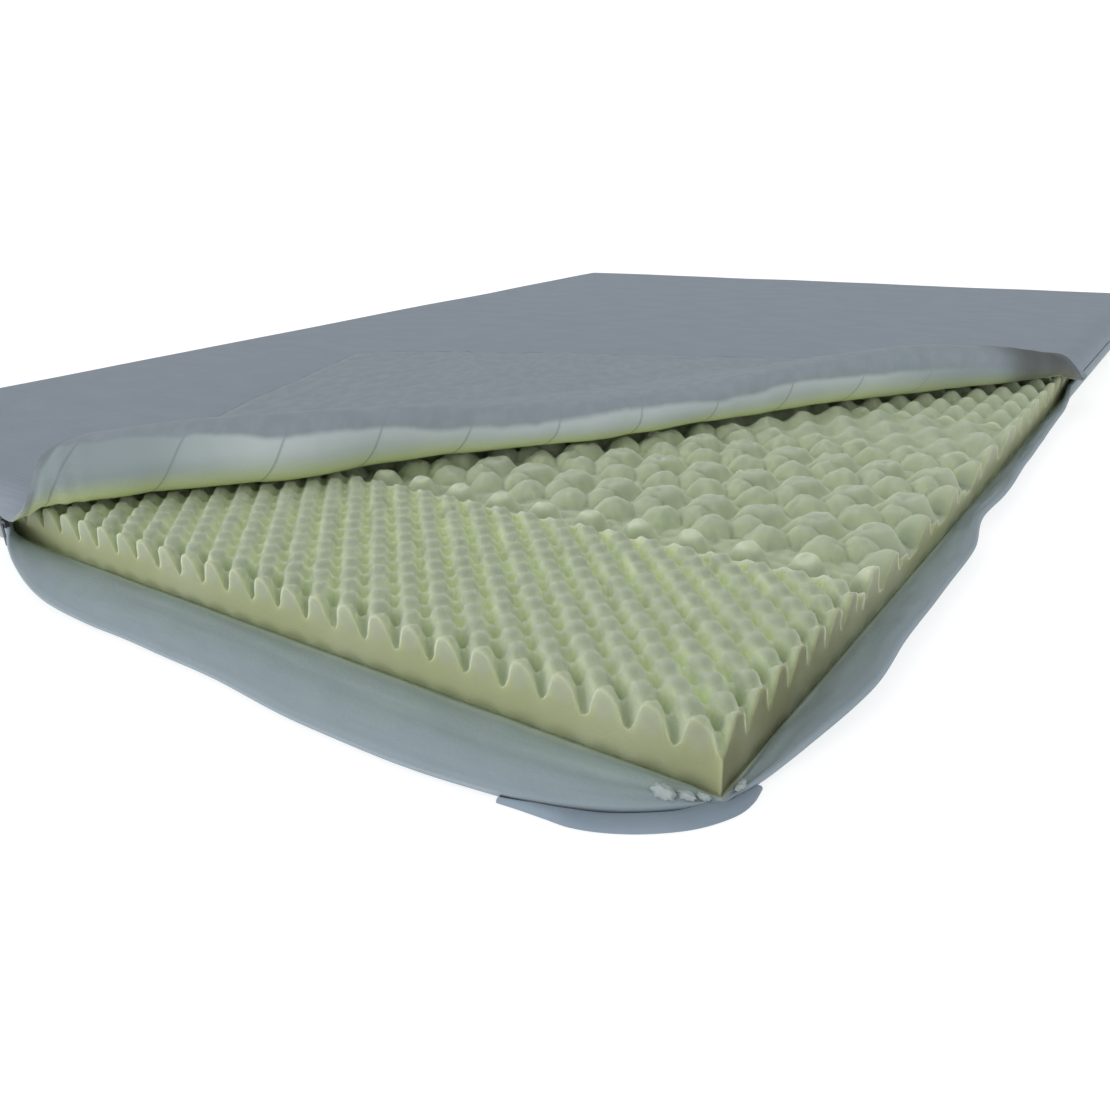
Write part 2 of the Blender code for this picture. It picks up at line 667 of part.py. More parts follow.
def build():
    for obj in list(bpy.data.objects):
        bpy.data.objects.remove(obj)
    parts = bpy.data.collections.new("mattress_topper")
    bpy.context.scene.collection.children.link(parts)
    foam = material("foam", (0.62, 0.66, 0.45), 0.95)
    quilt = material("quilted cover", (0.42, 0.48, 0.55), 0.92)
    wadding = material("wadding", (0.55, 0.63, 0.64), 0.95)
    plain = material("plain cloth", (0.50, 0.54, 0.64), 0.85)
    teeth = material("zip", (0.05, 0.05, 0.10), 0.5)
    base_panel(plain)
    foam_core(foam)
    border_wall(wadding)
    lid_panel(quilt)
    corner_facing(plain)
    corner_teeth(teeth)
    zip_chain(teeth)
    left = place(ZIP_LEFT - 0.008, -SLIDER_OUT, ZIP_Z)
    block("zip_slider", (0.012, 0.0044, 0.008), left, (0, 0, 0), teeth)
    pull = left + Vector((0.001, -0.0031, -0.012))
    block("zip_pull", (0.005, 0.0012, 0.024), pull, (0, 0, 0), teeth, 0.0003)


build()
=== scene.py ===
# %% [markdown]
# # A mattress topper with one corner unzipped
# A topper is a slab of egg-crate foam inside a thin cover. Here the cover's zip is open round
# the near corner: the quilted lid is turned back in a loose roll, so the foam shows, and the
# padded border wall has slumped outwards. We load the imported model first, because every piece
# has to lie where its solid lies.

# %% Load the frame
import bpy
import bmesh
import numpy as np
from functools import partialmethod
from math import pi, sin, cos, radians
from mathutils import Vector, Matrix

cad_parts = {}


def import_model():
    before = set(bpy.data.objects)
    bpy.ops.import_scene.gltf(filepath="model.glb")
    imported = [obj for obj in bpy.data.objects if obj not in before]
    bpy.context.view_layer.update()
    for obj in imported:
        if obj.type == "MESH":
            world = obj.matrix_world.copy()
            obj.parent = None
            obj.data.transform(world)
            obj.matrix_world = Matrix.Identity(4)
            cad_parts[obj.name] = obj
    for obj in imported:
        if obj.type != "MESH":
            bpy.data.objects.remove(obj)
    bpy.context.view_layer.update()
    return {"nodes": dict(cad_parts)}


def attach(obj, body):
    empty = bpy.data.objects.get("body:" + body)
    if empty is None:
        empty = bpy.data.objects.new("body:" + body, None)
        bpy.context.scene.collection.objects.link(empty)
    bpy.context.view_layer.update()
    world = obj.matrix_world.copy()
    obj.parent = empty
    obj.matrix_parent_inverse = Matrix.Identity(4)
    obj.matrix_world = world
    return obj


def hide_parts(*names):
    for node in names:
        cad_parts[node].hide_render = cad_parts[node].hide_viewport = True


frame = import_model()
print("nodes:", ", ".join(sorted(frame["nodes"])))

# %% [markdown]
# ## Sizes
# All lengths are metres. On the plan, `a` runs from the open corner along the short side and
# `b` runs from it along the long side. The single numbers are the solids' own, so that a piece
# made here covers the solid that it stands for. The tables were read off the photograph: the
# roll's radius, its bulge and the wall's free edge change all the way along.

# %% Sizes of the foam, the fold and the cloth
WIDTH, LENGTH = 1.400, 2.000
FOAM_BOTTOM, PEAK = 0.0033, 0.0560
EDGE_CAP, CAP_RUN = 0.0420, 0.020         # height of a closed edge, and the run up to the peaks
LID_HALF, LID_CROWN = 0.0030, 0.0030      # half thickness at the thread, and what wadding adds
LID_RIM = 0.0018                          # half thickness of the hem
CHANNEL, CHANNEL_START = 0.0880, -0.0010  # pitch of the stitched channels, and the first one
LID_MID = PEAK + 0.0005 + LID_HALF + LID_CROWN
HEM = 0.0236
SHOULDER_R, SHOULDER_IN = 0.0300, 0.0200  # radius over a closed edge, and where it starts
CORNER_R = SHOULDER_IN
FOLD_A, FOLD_B = 0.740, 1.070             # where the fold line meets the two open sides
REST_LIFT, SINK_RUN = 0.0165, 0.160       # how high the flap rests, and the run down to it
NORMAL_A, NORMAL_B = np.array([1 / FOLD_A, 1 / FOLD_B]) / np.hypot(1 / FOLD_A, 1 / FOLD_B)
FOLD_D = FOLD_A * NORMAL_A                # distance of the fold line from the open corner
FOLD_LEFT = FOLD_A * NORMAL_B             # along the line, from its left end to that foot
SHOWN = FOLD_D + 0.095                    # the foam has its knobs as far as this
OPEN_LEFT, OPEN_RIGHT = 0.832, 1.165      # ends of the zip's opening on the two sides

# distance along the fold from the left edge, radius of the roll
ROLL = ((-0.10, 0.0240), (0.05, 0.0290), (0.20, 0.0290), (0.38, 0.0240), (0.58, 0.0165),
        (0.74, 0.0170), (0.92, 0.0240), (1.08, 0.0260), (1.20, 0.0205), (1.30, 0.0150),
        (1.45, 0.0150))
# distance along the fold, how far the roll's front bulges past the fold line
BULGE = ((0.00, 0.010), (0.12, 0.015), (0.24, 0.026), (0.37, 0.006), (0.54, 0.020),
         (0.66, 0.016), (0.80, 0.003), (1.10, 0.005), (1.25, 0.008))
# where the roll's front, painted light, ends and the flap, painted in shade, starts:
# distance along the fold, share of the half turn
BAND = ((-0.05, 0.86), (0.10, 0.80), (0.23, 0.67), (0.34, 0.63), (0.45, 0.56), (0.55, 0.61),
        (0.66, 0.66), (0.75, 0.58), (0.87, 0.62), (1.05, 0.54), (1.30, 0.50))
# distance from the open corner, the wall's free edge out and up, lift of the cloth between
WALL_LEFT = ((0.000, 0.0055, 0.0045, 0.000), (0.011, 0.0170, 0.0045, 0.000),
             (0.030, 0.0335, 0.0045, 0.001), (0.050, 0.0465, 0.0045, 0.003),
             (0.067, 0.0545, 0.0045, 0.003), (0.103, 0.0665, 0.0045, 0.004),
             (0.145, 0.0740, 0.0045, 0.005), (0.287, 0.081, 0.0045, 0.006),
             (0.413, 0.074, 0.0050, 0.006), (0.500, 0.073, 0.0050, 0.006),
             (0.588, 0.074, 0.0055, 0.006), (0.660, 0.071, 0.0080, 0.005),
             (0.700, 0.064, 0.0110, 0.004), (0.735, 0.055, 0.0160, 0.003),
             (0.765, 0.045, 0.0220, 0.002), (0.791, 0.033, 0.0275, 0.001),
             (0.812, 0.020, 0.0310, 0.000), (0.835, 0.009, 0.0325, 0.000))
WALL_RIGHT = ((0.000, 0.0055, 0.0045, 0.000), (0.017, 0.0105, 0.0047, 0.000),
              (0.033, 0.0145, 0.0050, 0.000),
              (0.080, 0.026, 0.0120, -0.001), (0.160, 0.040, 0.0180, -0.003),
              (0.240, 0.038, 0.0190, -0.003), (0.340, 0.038, 0.0190, -0.003),
              (0.460, 0.037, 0.0190, -0.003), (0.560, 0.024, 0.0190, -0.002),
              (0.635, 0.028, 0.0200, -0.002), (0.720, 0.026, 0.0205, -0.002),
              (0.923, 0.022, 0.0220, -0.001), (1.080, 0.018, 0.0260, 0.000),
              (1.160, 0.009, 0.0325, 0.000))
# half thickness of the wall inside and at its rims, its gap to the foam, bulge where it stands
WALL_HALF, WALL_RIM, WALL_FOOT, CLOSED_BULGE = 0.0040, 0.0026, 0.0008, 0.0050
# facing round the open corner, plan points of its outer edge
FACING_OUT = ((0.1175, -0.0735), (0.100, -0.0715), (0.082, -0.0700), (0.066, -0.0685),
              (0.048, -0.0625), (0.028, -0.0515), (0.009, -0.0365), (-0.004, -0.0215),
              (-0.0140, -0.0030), (-0.0168, 0.0130), (-0.0155, 0.0285))

# %% [markdown]
# ## Small tools
# A few things recur: a curve through the rows of a table, smooth random relief for cloth,
# turning lists of points into an object, and numbers kept at each point for the materials.
# Gradient noise is written out here instead of using a texture, because a wrinkle has to follow
# the cloth's own flat coordinates.

# %% Easing, noise and meshes
def smooth(x):
    x = np.clip(x, 0.0, 1.0)
    return x * x * (3 - 2 * x)


def table(rows, x, column=1):
    """A column's value at x, on a smooth curve through the table's rows."""
    rows = np.asarray(rows)
    at, value = rows[:, 0], rows[:, column]
    slope = np.gradient(value, at)
    slope[[0, -1]] = 0.0
    x = np.clip(x, at[0], at[-1])
    i = np.clip(np.searchsorted(at, x) - 1, 0, len(at) - 2)
    run = at[i + 1] - at[i]
    f = (x - at[i]) / run
    return ((2 * f ** 3 - 3 * f ** 2 + 1) * value[i] + (f ** 3 - 2 * f ** 2 + f) * run * slope[i]
            + (3 * f ** 2 - 2 * f ** 3) * value[i + 1] + (f ** 3 - f ** 2) * run * slope[i + 1])


def relief(x, y, seed):
    """Smooth random relief, about -1 to 1, with one bump for each unit of x and y."""
    turn = np.random.default_rng(seed).uniform(0, 2 * pi, (97, 97))
    xi, yi = np.floor(x).astype(int), np.floor(y).astype(int)
    fx, fy = x - xi, y - yi
    total = 0.0
    for dx in (0, 1):
        for dy in (0, 1):
            angle = turn[(xi + dx) % 97, (yi + dy) % 97]
            slope = np.cos(angle) * (fx - dx) + np.sin(angle) * (fy - dy)
            weight = smooth(1 - np.abs(fx - dx)) * smooth(1 - np.abs(fy - dy))
            total = total + weight * slope
    return total * 1.6


def world(a, b, z):
    """Plan distances from the open corner to points in the frame."""
    return np.stack([WIDTH / 2 - a, b - LENGTH / 2, z], axis=-1)


def rounded(a, b, corners):
    """Bend the grid's corner squares round to arcs; a corner is a pair: far in a, far in b."""
    for far_a, far_b in corners:
        ca = WIDTH - CORNER_R if far_a else CORNER_R
        cb = LENGTH - CORNER_R if far_b else CORNER_R
        da = (a - ca) * (1 if far_a else -1)
        db = (b - cb) * (1 if far_b else -1)
        inside = (da > 0) & (db > 0)
        scale = np.where(inside, np.maximum(da, db) / np.maximum(np.hypot(da, db), 1e-9), 1.0)
        a, b = ca + (a - ca) * scale, cb + (b - cb) * scale
    return a, b


def link_object(name, data):
    obj = bpy.data.objects.new(name, data)
    bpy.context.scene.collection.objects.link(obj)
    return obj


def new_piece(name, points, faces, mat=None, shade_angle=None):
    """A mesh object at the origin, faces outwards."""
    mesh = bpy.data.meshes.new(name)
    mesh.from_pydata(np.asarray(points).tolist(), [], faces)
    mesh.validate()
    bm = bmesh.new()
    bm.from_mesh(mesh)
    bmesh.ops.recalc_face_normals(bm, faces=bm.faces)
    if bm.calc_volume(signed=True) < 0:
        bmesh.ops.reverse_faces(bm, faces=bm.faces)
    bm.to_mesh(mesh)
    bm.free()
    mesh.shade_smooth()
    if shade_angle:
        mesh.set_sharp_from_angle(angle=shade_angle)
    if mat:
        mesh.materials.append(mat)
    return link_object(name, mesh)


def keep_facts(mesh, facts):
    """Store a number at each point of a mesh under each name, for trees and materials."""
    for name, values in facts.items():
        layer = mesh.attributes.new(name, "FLOAT", "POINT")
        layer.data.foreach_set("value", np.asarray(values, dtype=np.float32))


def grid_faces(rows, columns):
    """Quads of a grid of points numbered row by row."""
    return [[r * columns + c, r * columns + c + 1, (r + 1) * columns + c + 1, (r + 1) * columns + c]
            for r in range(rows - 1) for c in range(columns - 1)]


def loft_faces(count, size, closed):
    """Quads between neighbouring rings, count of them, each a closed ring of size points."""
    faces = []
    for i in range(count if closed else count - 1):
        j = (i + 1) % count
        faces += [[i * size + k, i * size + (k + 1) % size, j * size + (k + 1) % size, j * size + k]
                  for k in range(size)]
    return faces


# %% [markdown]
# ## Sums written as sums
# Node trees get unreadable once a formula has ten steps. This small class wraps a node socket,
# so that `(1 + u.cos()) * 0.5` builds the Math nodes by itself. It serves shapes and materials.

# %% A class that writes Math nodes
class Sum:
    def __init__(self, tree, socket):
        self.tree, self.socket = tree, socket

    def math(self, operation, *others, clamp=False):
        node = self.tree.nodes.new("ShaderNodeMath")
        node.operation, node.use_clamp = operation, clamp
        for slot, value in zip(node.inputs, (self,) + others):
            if isinstance(value, Sum):
                self.tree.links.new(value.socket, slot)
            else:
                slot.default_value = value
        return Sum(self.tree, node.outputs[0])

    def __rsub__(self, other):
        return self * -1.0 + other

    def clamp(self):
        return self.math("ADD", 0.0, clamp=True)

    def eased(self, low, high):
        """0 below low, 1 above high, and a smooth step between."""
        node = add_node(self.tree, "ShaderNodeMapRange", {0: self, 1: low, 2: high},
                        interpolation_type="SMOOTHSTEP")
        return Sum(self.tree, node.outputs[0])


# the plain operations differ only in their names
for method, operation in (("__add__", "ADD"), ("__radd__", "ADD"), ("__sub__", "SUBTRACT"),
                          ("__mul__", "MULTIPLY"), ("__rmul__", "MULTIPLY"),
                          ("__truediv__", "DIVIDE"), ("__pow__", "POWER"), ("sin", "SINE"),
                          ("cos", "COSINE"), ("abs", "ABSOLUTE"), ("least", "MINIMUM"),
                          ("most", "MAXIMUM")):
    setattr(Sum, method, partialmethod(Sum.math, operation))


def add_node(tree, kind, inputs, **settings):
    """A node with its inputs set: a Sum or a socket is linked, anything else is a value."""
    node = tree.nodes.new(kind)
    for name, value in settings.items():
        setattr(node, name, value)
    for name, value in inputs.items():
        value = getattr(value, "socket", value)
        if isinstance(value, bpy.types.NodeSocket):
            tree.links.new(value, node.inputs[name])
        else:
            node.inputs[name].default_value = value
    return node


def parts(tree, vector):
    """The three numbers of a vector socket."""
    split = add_node(tree, "ShaderNodeSeparateXYZ", {0: vector})
    return [Sum(tree, out) for out in split.outputs]


# %% [markdown]
# ## The camera
# The photograph was taken from a little above the near corner. Position, turn and lens come from
# fitting a pinhole camera to the foam's edges, so the pieces can be compared with the photograph
# point by point.

# %% Camera
YAW, PITCH, TILT = radians(36.03), radians(22.41), radians(-2.03)
CAMERA_AT, LENS_MM = (0.905, -1.445, 0.368), 30.83


def add_camera():
    forward = Vector((-sin(YAW) * cos(PITCH), cos(YAW) * cos(PITCH), -sin(PITCH)))
    level = Vector((cos(YAW), sin(YAW), 0.0))
    up = level.cross(forward)
    right = level * cos(TILT) + up * sin(TILT)
    top = up * cos(TILT) - level * sin(TILT)
    data = bpy.data.cameras.new("camera")
    data.lens, data.sensor_width, data.clip_start = LENS_MM, 36.0, 0.02
    camera = link_object("camera", data)
    turn = Matrix((right, top, -forward)).transposed().to_4x4()
    camera.matrix_world = Matrix.Translation(CAMERA_AT) @ turn
    bpy.context.scene.camera = camera


add_camera()

# %% [markdown]
# ## Foam: one rule, four zones
# Convoluted foam is cut by pressing a slab between rollers with knobs, so its surface follows a
# rule: a peak height for every point of the plan. The mesh starts as a flat grid that carries
# facts at each point (how far up it lies between underside and top, how high the foam may reach
# there, whether it shows, which zone it is in), and a Geometry Nodes tree lifts it. One tree
# with named inputs then serves all the pitches.

# %% The flat grid of the foam
CELL = 0.0030                       # about eleven points to a peak of the fine zone
HIDDEN_A = (0.90, 1.10, 1.30, 1.38, 1.386, 1.392, WIDTH)        # columns and rows that lie
HIDDEN_B = (1.36, 1.5, 1.7, 1.9, 1.98, 1.986, 1.992, LENGTH)    # under the closed lid
SIDE_STEPS = (0.0, 0.30, 0.48, 0.60, 0.70, 0.79, 0.88, 0.95)    # rings up the sides
ZONE_B = (0.2520, 0.6430, 0.8100)   # where the middle, the far and the last zone start
CAP_LEFT, CAP_RIGHT, CAP_FADE = 0.775, 1.100, 0.04   # where the open sides begin to be closed


def foam_plan():
    """Rows of plan points: fine where the foam shows, and a few beyond, under the lid."""
    fine_b = np.arange(0, int(SHOWN / NORMAL_B / CELL) + 1) * CELL
    points, rows = [], []
    for b in np.concatenate([fine_b, HIDDEN_B]):
        count = int(max(0.0, (SHOWN - b * NORMAL_B) / NORMAL_A) / CELL)
        line = list(np.arange(0, count + 1) * CELL)
        line += [x for x in HIDDEN_A if x > line[-1] + CELL]
        rows.append((len(points), len(line), count))
        points += [(x, b) for x in line]
    return np.array(points), rows


def foam_faces(points, rows):
    """Quads between neighbouring rows; where a row is longer, one polygon takes up the step."""
    faces = []
    for (s0, n0, c0), (s1, n1, c1) in zip(rows, rows[1:]):
        low = min(c0, c1)
        faces += [[s0 + k, s0 + k + 1, s1 + k + 1, s1 + k] for k in range(low)]
        i, j = s0 + low, s1 + low
        while i < s0 + n0 - 1 or j < s1 + n1 - 1:
            x0 = points[i + 1][0] if i < s0 + n0 - 1 else 9
            x1 = points[j + 1][0] if j < s1 + n1 - 1 else 9
            if abs(x0 - x1) < 1e-6:
                faces.append([i, i + 1, j + 1, j])
                i, j = i + 1, j + 1
            elif x0 < x1:
                faces.append([i, i + 1, j])
                i += 1
            else:
                faces.append([i, j + 1, j])
                j += 1
    return faces


def closed_cap(a, b):
    """Highest the foam reaches near the edges that the closed cover rounds."""
    left, right = smooth((a - CAP_LEFT) / CAP_FADE), smooth((b - CAP_RIGHT) / CAP_FADE)
    cap = np.full(a.shape, PEAK)
    for reach, weight in ((WIDTH - a, 1.0), (LENGTH - b, 1.0), (b, left), (a, right)):
        edge = EDGE_CAP + (PEAK - EDGE_CAP) * np.clip(reach / CAP_RUN, 0, 1)
        cap = np.minimum(cap, PEAK + (edge - PEAK) * weight)
    return cap


def flat_foam():
    plan, rows = foam_plan()
    faces = foam_faces(plan, rows)
    # the rim, anticlockwise on the plan: near side, far end of each row, far side, open side
    rim = list(range(rows[0][1])) + [start + size - 1 for start, size, _ in rows[1:]]
    rim += [rows[-1][0] + k for k in range(rows[-1][1] - 2, -1, -1)]
    rim += [start for start, _, _ in rows[-2:0:-1]]
    top, size = len(plan), len(rim)
    rings = [[top + i * size + k for k in range(size)] for i in range(len(SIDE_STEPS))] + [rim]
    for low, high in zip(rings, rings[1:]):
        faces += [[low[k], low[k + 1 - size], high[k + 1 - size], high[k]]
                  for k in range(size)]
    faces.append(rings[0][::-1])
    plan = np.concatenate([plan] + [plan[rim]] * len(SIDE_STEPS))
    a, b = rounded(plan[:, 0], plan[:, 1], ((True, False), (True, True), (False, True)))
    obj = new_piece("foam", world(a, b, np.zeros(len(a))), faces)
    facts = {"rise": np.concatenate([np.ones(top), np.repeat(SIDE_STEPS, size)]),
             "cap": closed_cap(a, b),
             "shown": 1 - smooth((a * NORMAL_A + b * NORMAL_B - SHOWN + 0.03) / 0.025)}
    starts = [smooth((b - start) / 0.006 + 0.5) for start in ZONE_B] + [0.0]
    for name, here, after in zip(("middle", "far", "last"), starts, starts[1:]):
        facts[name] = here - after
    keep_facts(obj.data, facts)
    return obj


foam = flat_foam()
print("foam grid:", len(foam.data.vertices), "points")

# %% [markdown]
# ## A tree with named inputs
# Every Geometry Nodes tree here is made the same way: geometry in, numbers in by name, geometry
# out through Realize Instances and Set Material. The modifier's inputs are set by the socket's
# identifier, because the name on the panel isn't the key. The result is then frozen into a plain
# mesh, so that nothing depends on the modifier any more.

# %% Making and freezing a tree
def start_tree(name, sizes):
    """A tree with a Geometry input and one number input for each named size."""
    tree = bpy.data.node_groups.new(name, "GeometryNodeTree")
    tree.interface.new_socket("Geometry", in_out="INPUT", socket_type="NodeSocketGeometry")
    for label, value in sizes.items():
        item = tree.interface.new_socket(label, in_out="INPUT", socket_type="NodeSocketFloat")
        item.default_value = value
    tree.interface.new_socket("Geometry", in_out="OUTPUT", socket_type="NodeSocketGeometry")
    group_in = tree.nodes.new("NodeGroupInput")
    numbers = {label: Sum(tree, group_in.outputs[label]) for label in sizes}
    return tree, group_in.outputs["Geometry"], numbers


def end_tree(tree, geometry, mat):
    """Realize Instances, Set Material and the output."""
    real = add_node(tree, "GeometryNodeRealizeInstances", {0: geometry})
    paint = add_node(tree, "GeometryNodeSetMaterial", {"Geometry": real.outputs[0],
                                                       "Material": mat})
    add_node(tree, "NodeGroupOutput", {0: paint.outputs[0]})
    return tree


def attribute(tree, name):
    node = add_node(tree, "GeometryNodeInputNamedAttribute", {"Name": name})
    return Sum(tree, node.outputs[0])


def frozen(obj, tree, sizes):
    """The mesh that a tree makes of an object."""
    modifier = obj.modifiers.new(tree.name, "NODES")
    modifier.node_group = tree
    for item in tree.interface.items_tree:
        if item.item_type == "SOCKET" and item.in_out == "INPUT" and item.name in sizes:
            modifier[item.identifier] = sizes[item.name]
    depsgraph = bpy.context.evaluated_depsgraph_get()
    mesh = bpy.data.meshes.new_from_object(obj.evaluated_get(depsgraph))
    obj.modifiers.clear()
    return mesh


# %% [markdown]
# ## The foam's rule
# At the near end the knobs of a fine chequerboard nearly touch along one diagonal, so they read
# as chains. The middle zone has bars of short crests, narrower towards the near side, with lower
# and smaller round knobs between the bars and a row of balls along its border. The far and the
# last zone are plain chequerboards, which are products of two cosines. Where two shapes meet,
# their fifth powers are added and the fifth root taken: that keeps the higher one and rounds the
# crease between them. Noise shifts the knobs a little and wrinkles the coarser ones, because cut
# foam is never quite regular.

# %% Lifting the foam
FOAM_SIZES = {
    "Peak": PEAK, "Underside": FOAM_BOTTOM,
    "Fine pitch": 0.0340, "Fine valley": 0.0305, "Fine peak a": 0.0160, "Fine peak b": 0.0020,
    "Bar pitch": 0.0993, "Bar at": 0.3690, "Knob pitch": 0.0550, "Bar peak a": 0.0280,
    "Low knob at": 0.3290, "Low peak a": 0.0060, "Border row at": 0.2760,
    "Border peak a": 0.0015, "Small knob at": 0.3470, "Small peak a": 0.0335,
    "Coarse pitch": 0.0980, "Coarse peak a": 0.0540, "Coarse peak b": 0.6890,
    "Coarse valley": 0.0270, "Last peak a": 0.0270, "Last peak b": 1.0250,
    "Shallower inside": 0.0110, "Unevenness": 0.0016, "Wrinkles": 0.0100,
}
SHARP = 5.0                          # power that joins two shapes
CREST_LENGTH, CREST_WIDTH, CREST_TAPER = 0.0340, 0.0245, 0.50   # the taper is away from near
ACROSS, ASIDE = 0.81, 0.59           # direction in which the crests run, askew to the rows
# round knobs: radius on the plan, height as a share of the peak's, and where their rows start
ROUND_KNOBS = {"Low": (0.0215, 0.90, 0.290), "Small": (0.0190, 0.84, 0.300)}
BORDER_BALL = (0.0190, 1.10)
CRESTS_FROM, START_RUN = 0.300, 0.012


def phase(distance, peak, pitch):
    return (distance - peak) / pitch * (2 * pi)


def chequer(a, b, pitch_a, pitch_b, peak_a, peak_b):
    """Round-topped knobs in a chequerboard, 1 on a knob and 0 in a pit."""
    u, v = phase(a, peak_a, pitch_a), phase(b, peak_b, pitch_b)
    below = (0.5 - u.cos() * v.cos() * 0.5).clamp()
    return (1.0 - below ** 1.20).most(0.0) ** 1.15


def chains(a, b, pitch, peak_a, peak_b):
    """A chequerboard pulled into rows: knobs nearly touch along one diagonal of the plan."""
    u, v = phase(a, peak_a, pitch), phase(b, peak_b, pitch)
    beside = 0.5 + (u - v).cos() * 0.5
    ahead = 0.5 + (u + v).cos() * 0.5
    row = (1.0 - (1.0 - beside).clamp() ** 1.7).clamp()
    row = row * row * (3.0 - row * 2.0)
    low, high = ahead * 0.50, 1.0 - (1.0 - ahead).clamp() ** 1.2 * 0.30
    return low + (high - low) * row


def wrap(distance, pitch):
    """Signed distance from the nearest multiple of the pitch."""
    return (distance + pitch * 20.5).math("MODULO", pitch) - pitch * 0.5


def crests(off_a, off_b):
    """Round-backed crests, set askew to the rows and narrower towards the near side."""
    along = off_b * ASIDE - off_a * ACROSS
    ahead = off_a * ASIDE + off_b * ACROSS - 0.004
    apart = ((along / (ahead * CREST_TAPER + CREST_LENGTH)) ** 2.0
             + (ahead / CREST_WIDTH) ** 2.0) ** 0.5
    return ((1.0 - apart).eased(0.0, 0.66) * 0.99) ** SHARP


def domes(a, across, knob_pitch, peak_a, radius, height):
    """Rows of separate round knobs, given the distance across the rows."""
    along = (a - peak_a).math("PINGPONG", knob_pitch * 0.5)
    apart = (along * along + across * across) ** 0.5
    return (((apart / radius).least(1.0) * (pi / 2)).cos().most(0.0) ** 0.70 * height) ** SHARP


def middle_zone(a, b, size):
    """Crests, low knobs and small knobs; none reaches over the row of balls at the border."""
    pitch = size["Knob pitch"]
    off_a = wrap(a - size["Bar peak a"], pitch)
    off_b = wrap(b - size["Bar at"], size["Bar pitch"])
    # the nearest crest and its neighbour, because they reach into each other's stretch
    all_knobs = crests(off_a, off_b).most(crests(off_a - off_a.math("SIGN") * pitch, off_b))
    all_knobs = all_knobs * b.eased(CRESTS_FROM, CRESTS_FROM + START_RUN)
    for row, (radius, height, start) in ROUND_KNOBS.items():
        across = (b - size[row + " knob at"]).math("PINGPONG", size["Bar pitch"] * 0.5)
        knobs = domes(a, across, pitch, size[row + " peak a"], radius, height)
        all_knobs = all_knobs + knobs * b.eased(start, start + START_RUN)
    return all_knobs ** (1 / SHARP)


def foam_tree(mat):
    tree, geometry, size = start_tree("convoluted foam", FOAM_SIZES)
    position = tree.nodes.new("GeometryNodeInputPosition").outputs[0]
    wobble, wrinkle = (add_node(tree, "ShaderNodeTexNoise",
                                {"Vector": position, "Scale": scale, "Detail": 1.0})
                       for scale in (26.0, 62.0))
    shift_a, shift_b, shift_z = ((part - 0.5) * size["Unevenness"] * 3.2
                                 for part in parts(tree, wobble.outputs["Color"]))
    wrinkles = (Sum(tree, wrinkle.outputs["Fac"]) - 0.5) * size["Wrinkles"]
    x, y, _ = parts(tree, position)
    a = WIDTH / 2 - x + shift_a
    b = y + LENGTH / 2 + shift_b
    pitch = size["Knob pitch"]
    fine = chains(a, b, size["Fine pitch"], size["Fine peak a"], size["Fine peak b"])
    coarse = chequer(a, b, pitch, size["Coarse pitch"], size["Coarse peak a"],
                     size["Coarse peak b"])
    final = chequer(a, b, pitch, pitch, size["Last peak a"], size["Last peak b"])
    ball = domes(a, (b - size["Border row at"]).abs(), pitch, size["Border peak a"], *BORDER_BALL)
    in_middle, in_far, in_last = (attribute(tree, n) for n in ("middle", "far", "last"))
    in_fine = 1.0 - in_middle - in_far - in_last
    knob = (fine * in_fine + middle_zone(a, b, size) * in_middle + coarse * in_far
            + final * in_last)
    knob = ((knob ** SHARP + ball) ** (1 / SHARP)).least(1.0)
    # pits are as deep as the solid's at the cut edges, and shallower inside the field
    inside = a.least(b).eased(0.004, 0.032)
    valley = size["Coarse valley"] + (size["Fine valley"] - size["Coarse valley"]) * in_fine
    valley = valley + size["Shallower inside"] * inside * (1.0 - in_last * 0.45)
    shape = valley + (size["Peak"] - valley) * knob + shift_z * (1.0 - knob)
    shape = shape + (wrinkles - 0.0010) * (in_middle + in_far * 0.6 + in_last * 0.2) * inside
    shown = attribute(tree, "shown")
    top = (shape * shown + size["Peak"] * (1.0 - shown)).least(attribute(tree, "cap"))
    lift = size["Underside"] + (top - size["Underside"]) * attribute(tree, "rise")
    offset = add_node(tree, "ShaderNodeCombineXYZ", {2: lift})
    raised = add_node(tree, "GeometryNodeSetPosition",
                      {"Geometry": geometry, "Offset": offset.outputs[0]})
    for name, value in (("knob", knob * shown + (1.0 - shown)), ("ball", ball)):
        raised = add_node(tree, "GeometryNodeStoreNamedAttribute",
                          {"Geometry": raised.outputs[0], "Name": name, "Value": value})
    return end_tree(tree, raised.outputs[0], mat)


# %% [markdown]
# ## Foam's finish
# Open-cell foam is matt and a little see-through. The pits are painted lightest and most yellow,
# as painted light for what passes through the foam and for the shade they would have, and the
# tops of the fine knobs are painted greyer, as painted shade. The balls are painted palest, as
# painted light, and in the coarser zones the low parts are painted darker and the tops lighter,
# as painted shade and light. The cut sides show the slab's deeper yellow; their foot is painted
# lighter, as painted light in the crease, and the long one is painted darker towards the open
# corner, as shade. The cells are under a millimetre and show as grain. The knob attribute, kept
# by the tree, tells the material how high a point lies.

# %% Foam material
def new_material(name, roughness, specular=0.2):
    mat = bpy.data.materials.new(name)
    mat.use_nodes = True
    shader = mat.node_tree.nodes["Principled BSDF"]
    shader.inputs["Roughness"].default_value = roughness
    shader.inputs["Specular IOR Level"].default_value = specular
    return mat, mat.node_tree, shader


def object_place(tree):
    return tree.nodes.new("ShaderNodeTexCoord").outputs["Object"]


def noise(tree, scale, detail):
    """Noise on the piece's own coordinates."""
    node = add_node(tree, "ShaderNodeTexNoise",
                    {"Vector": object_place(tree), "Scale": scale, "Detail": detail})
    return Sum(tree, node.outputs["Fac"])


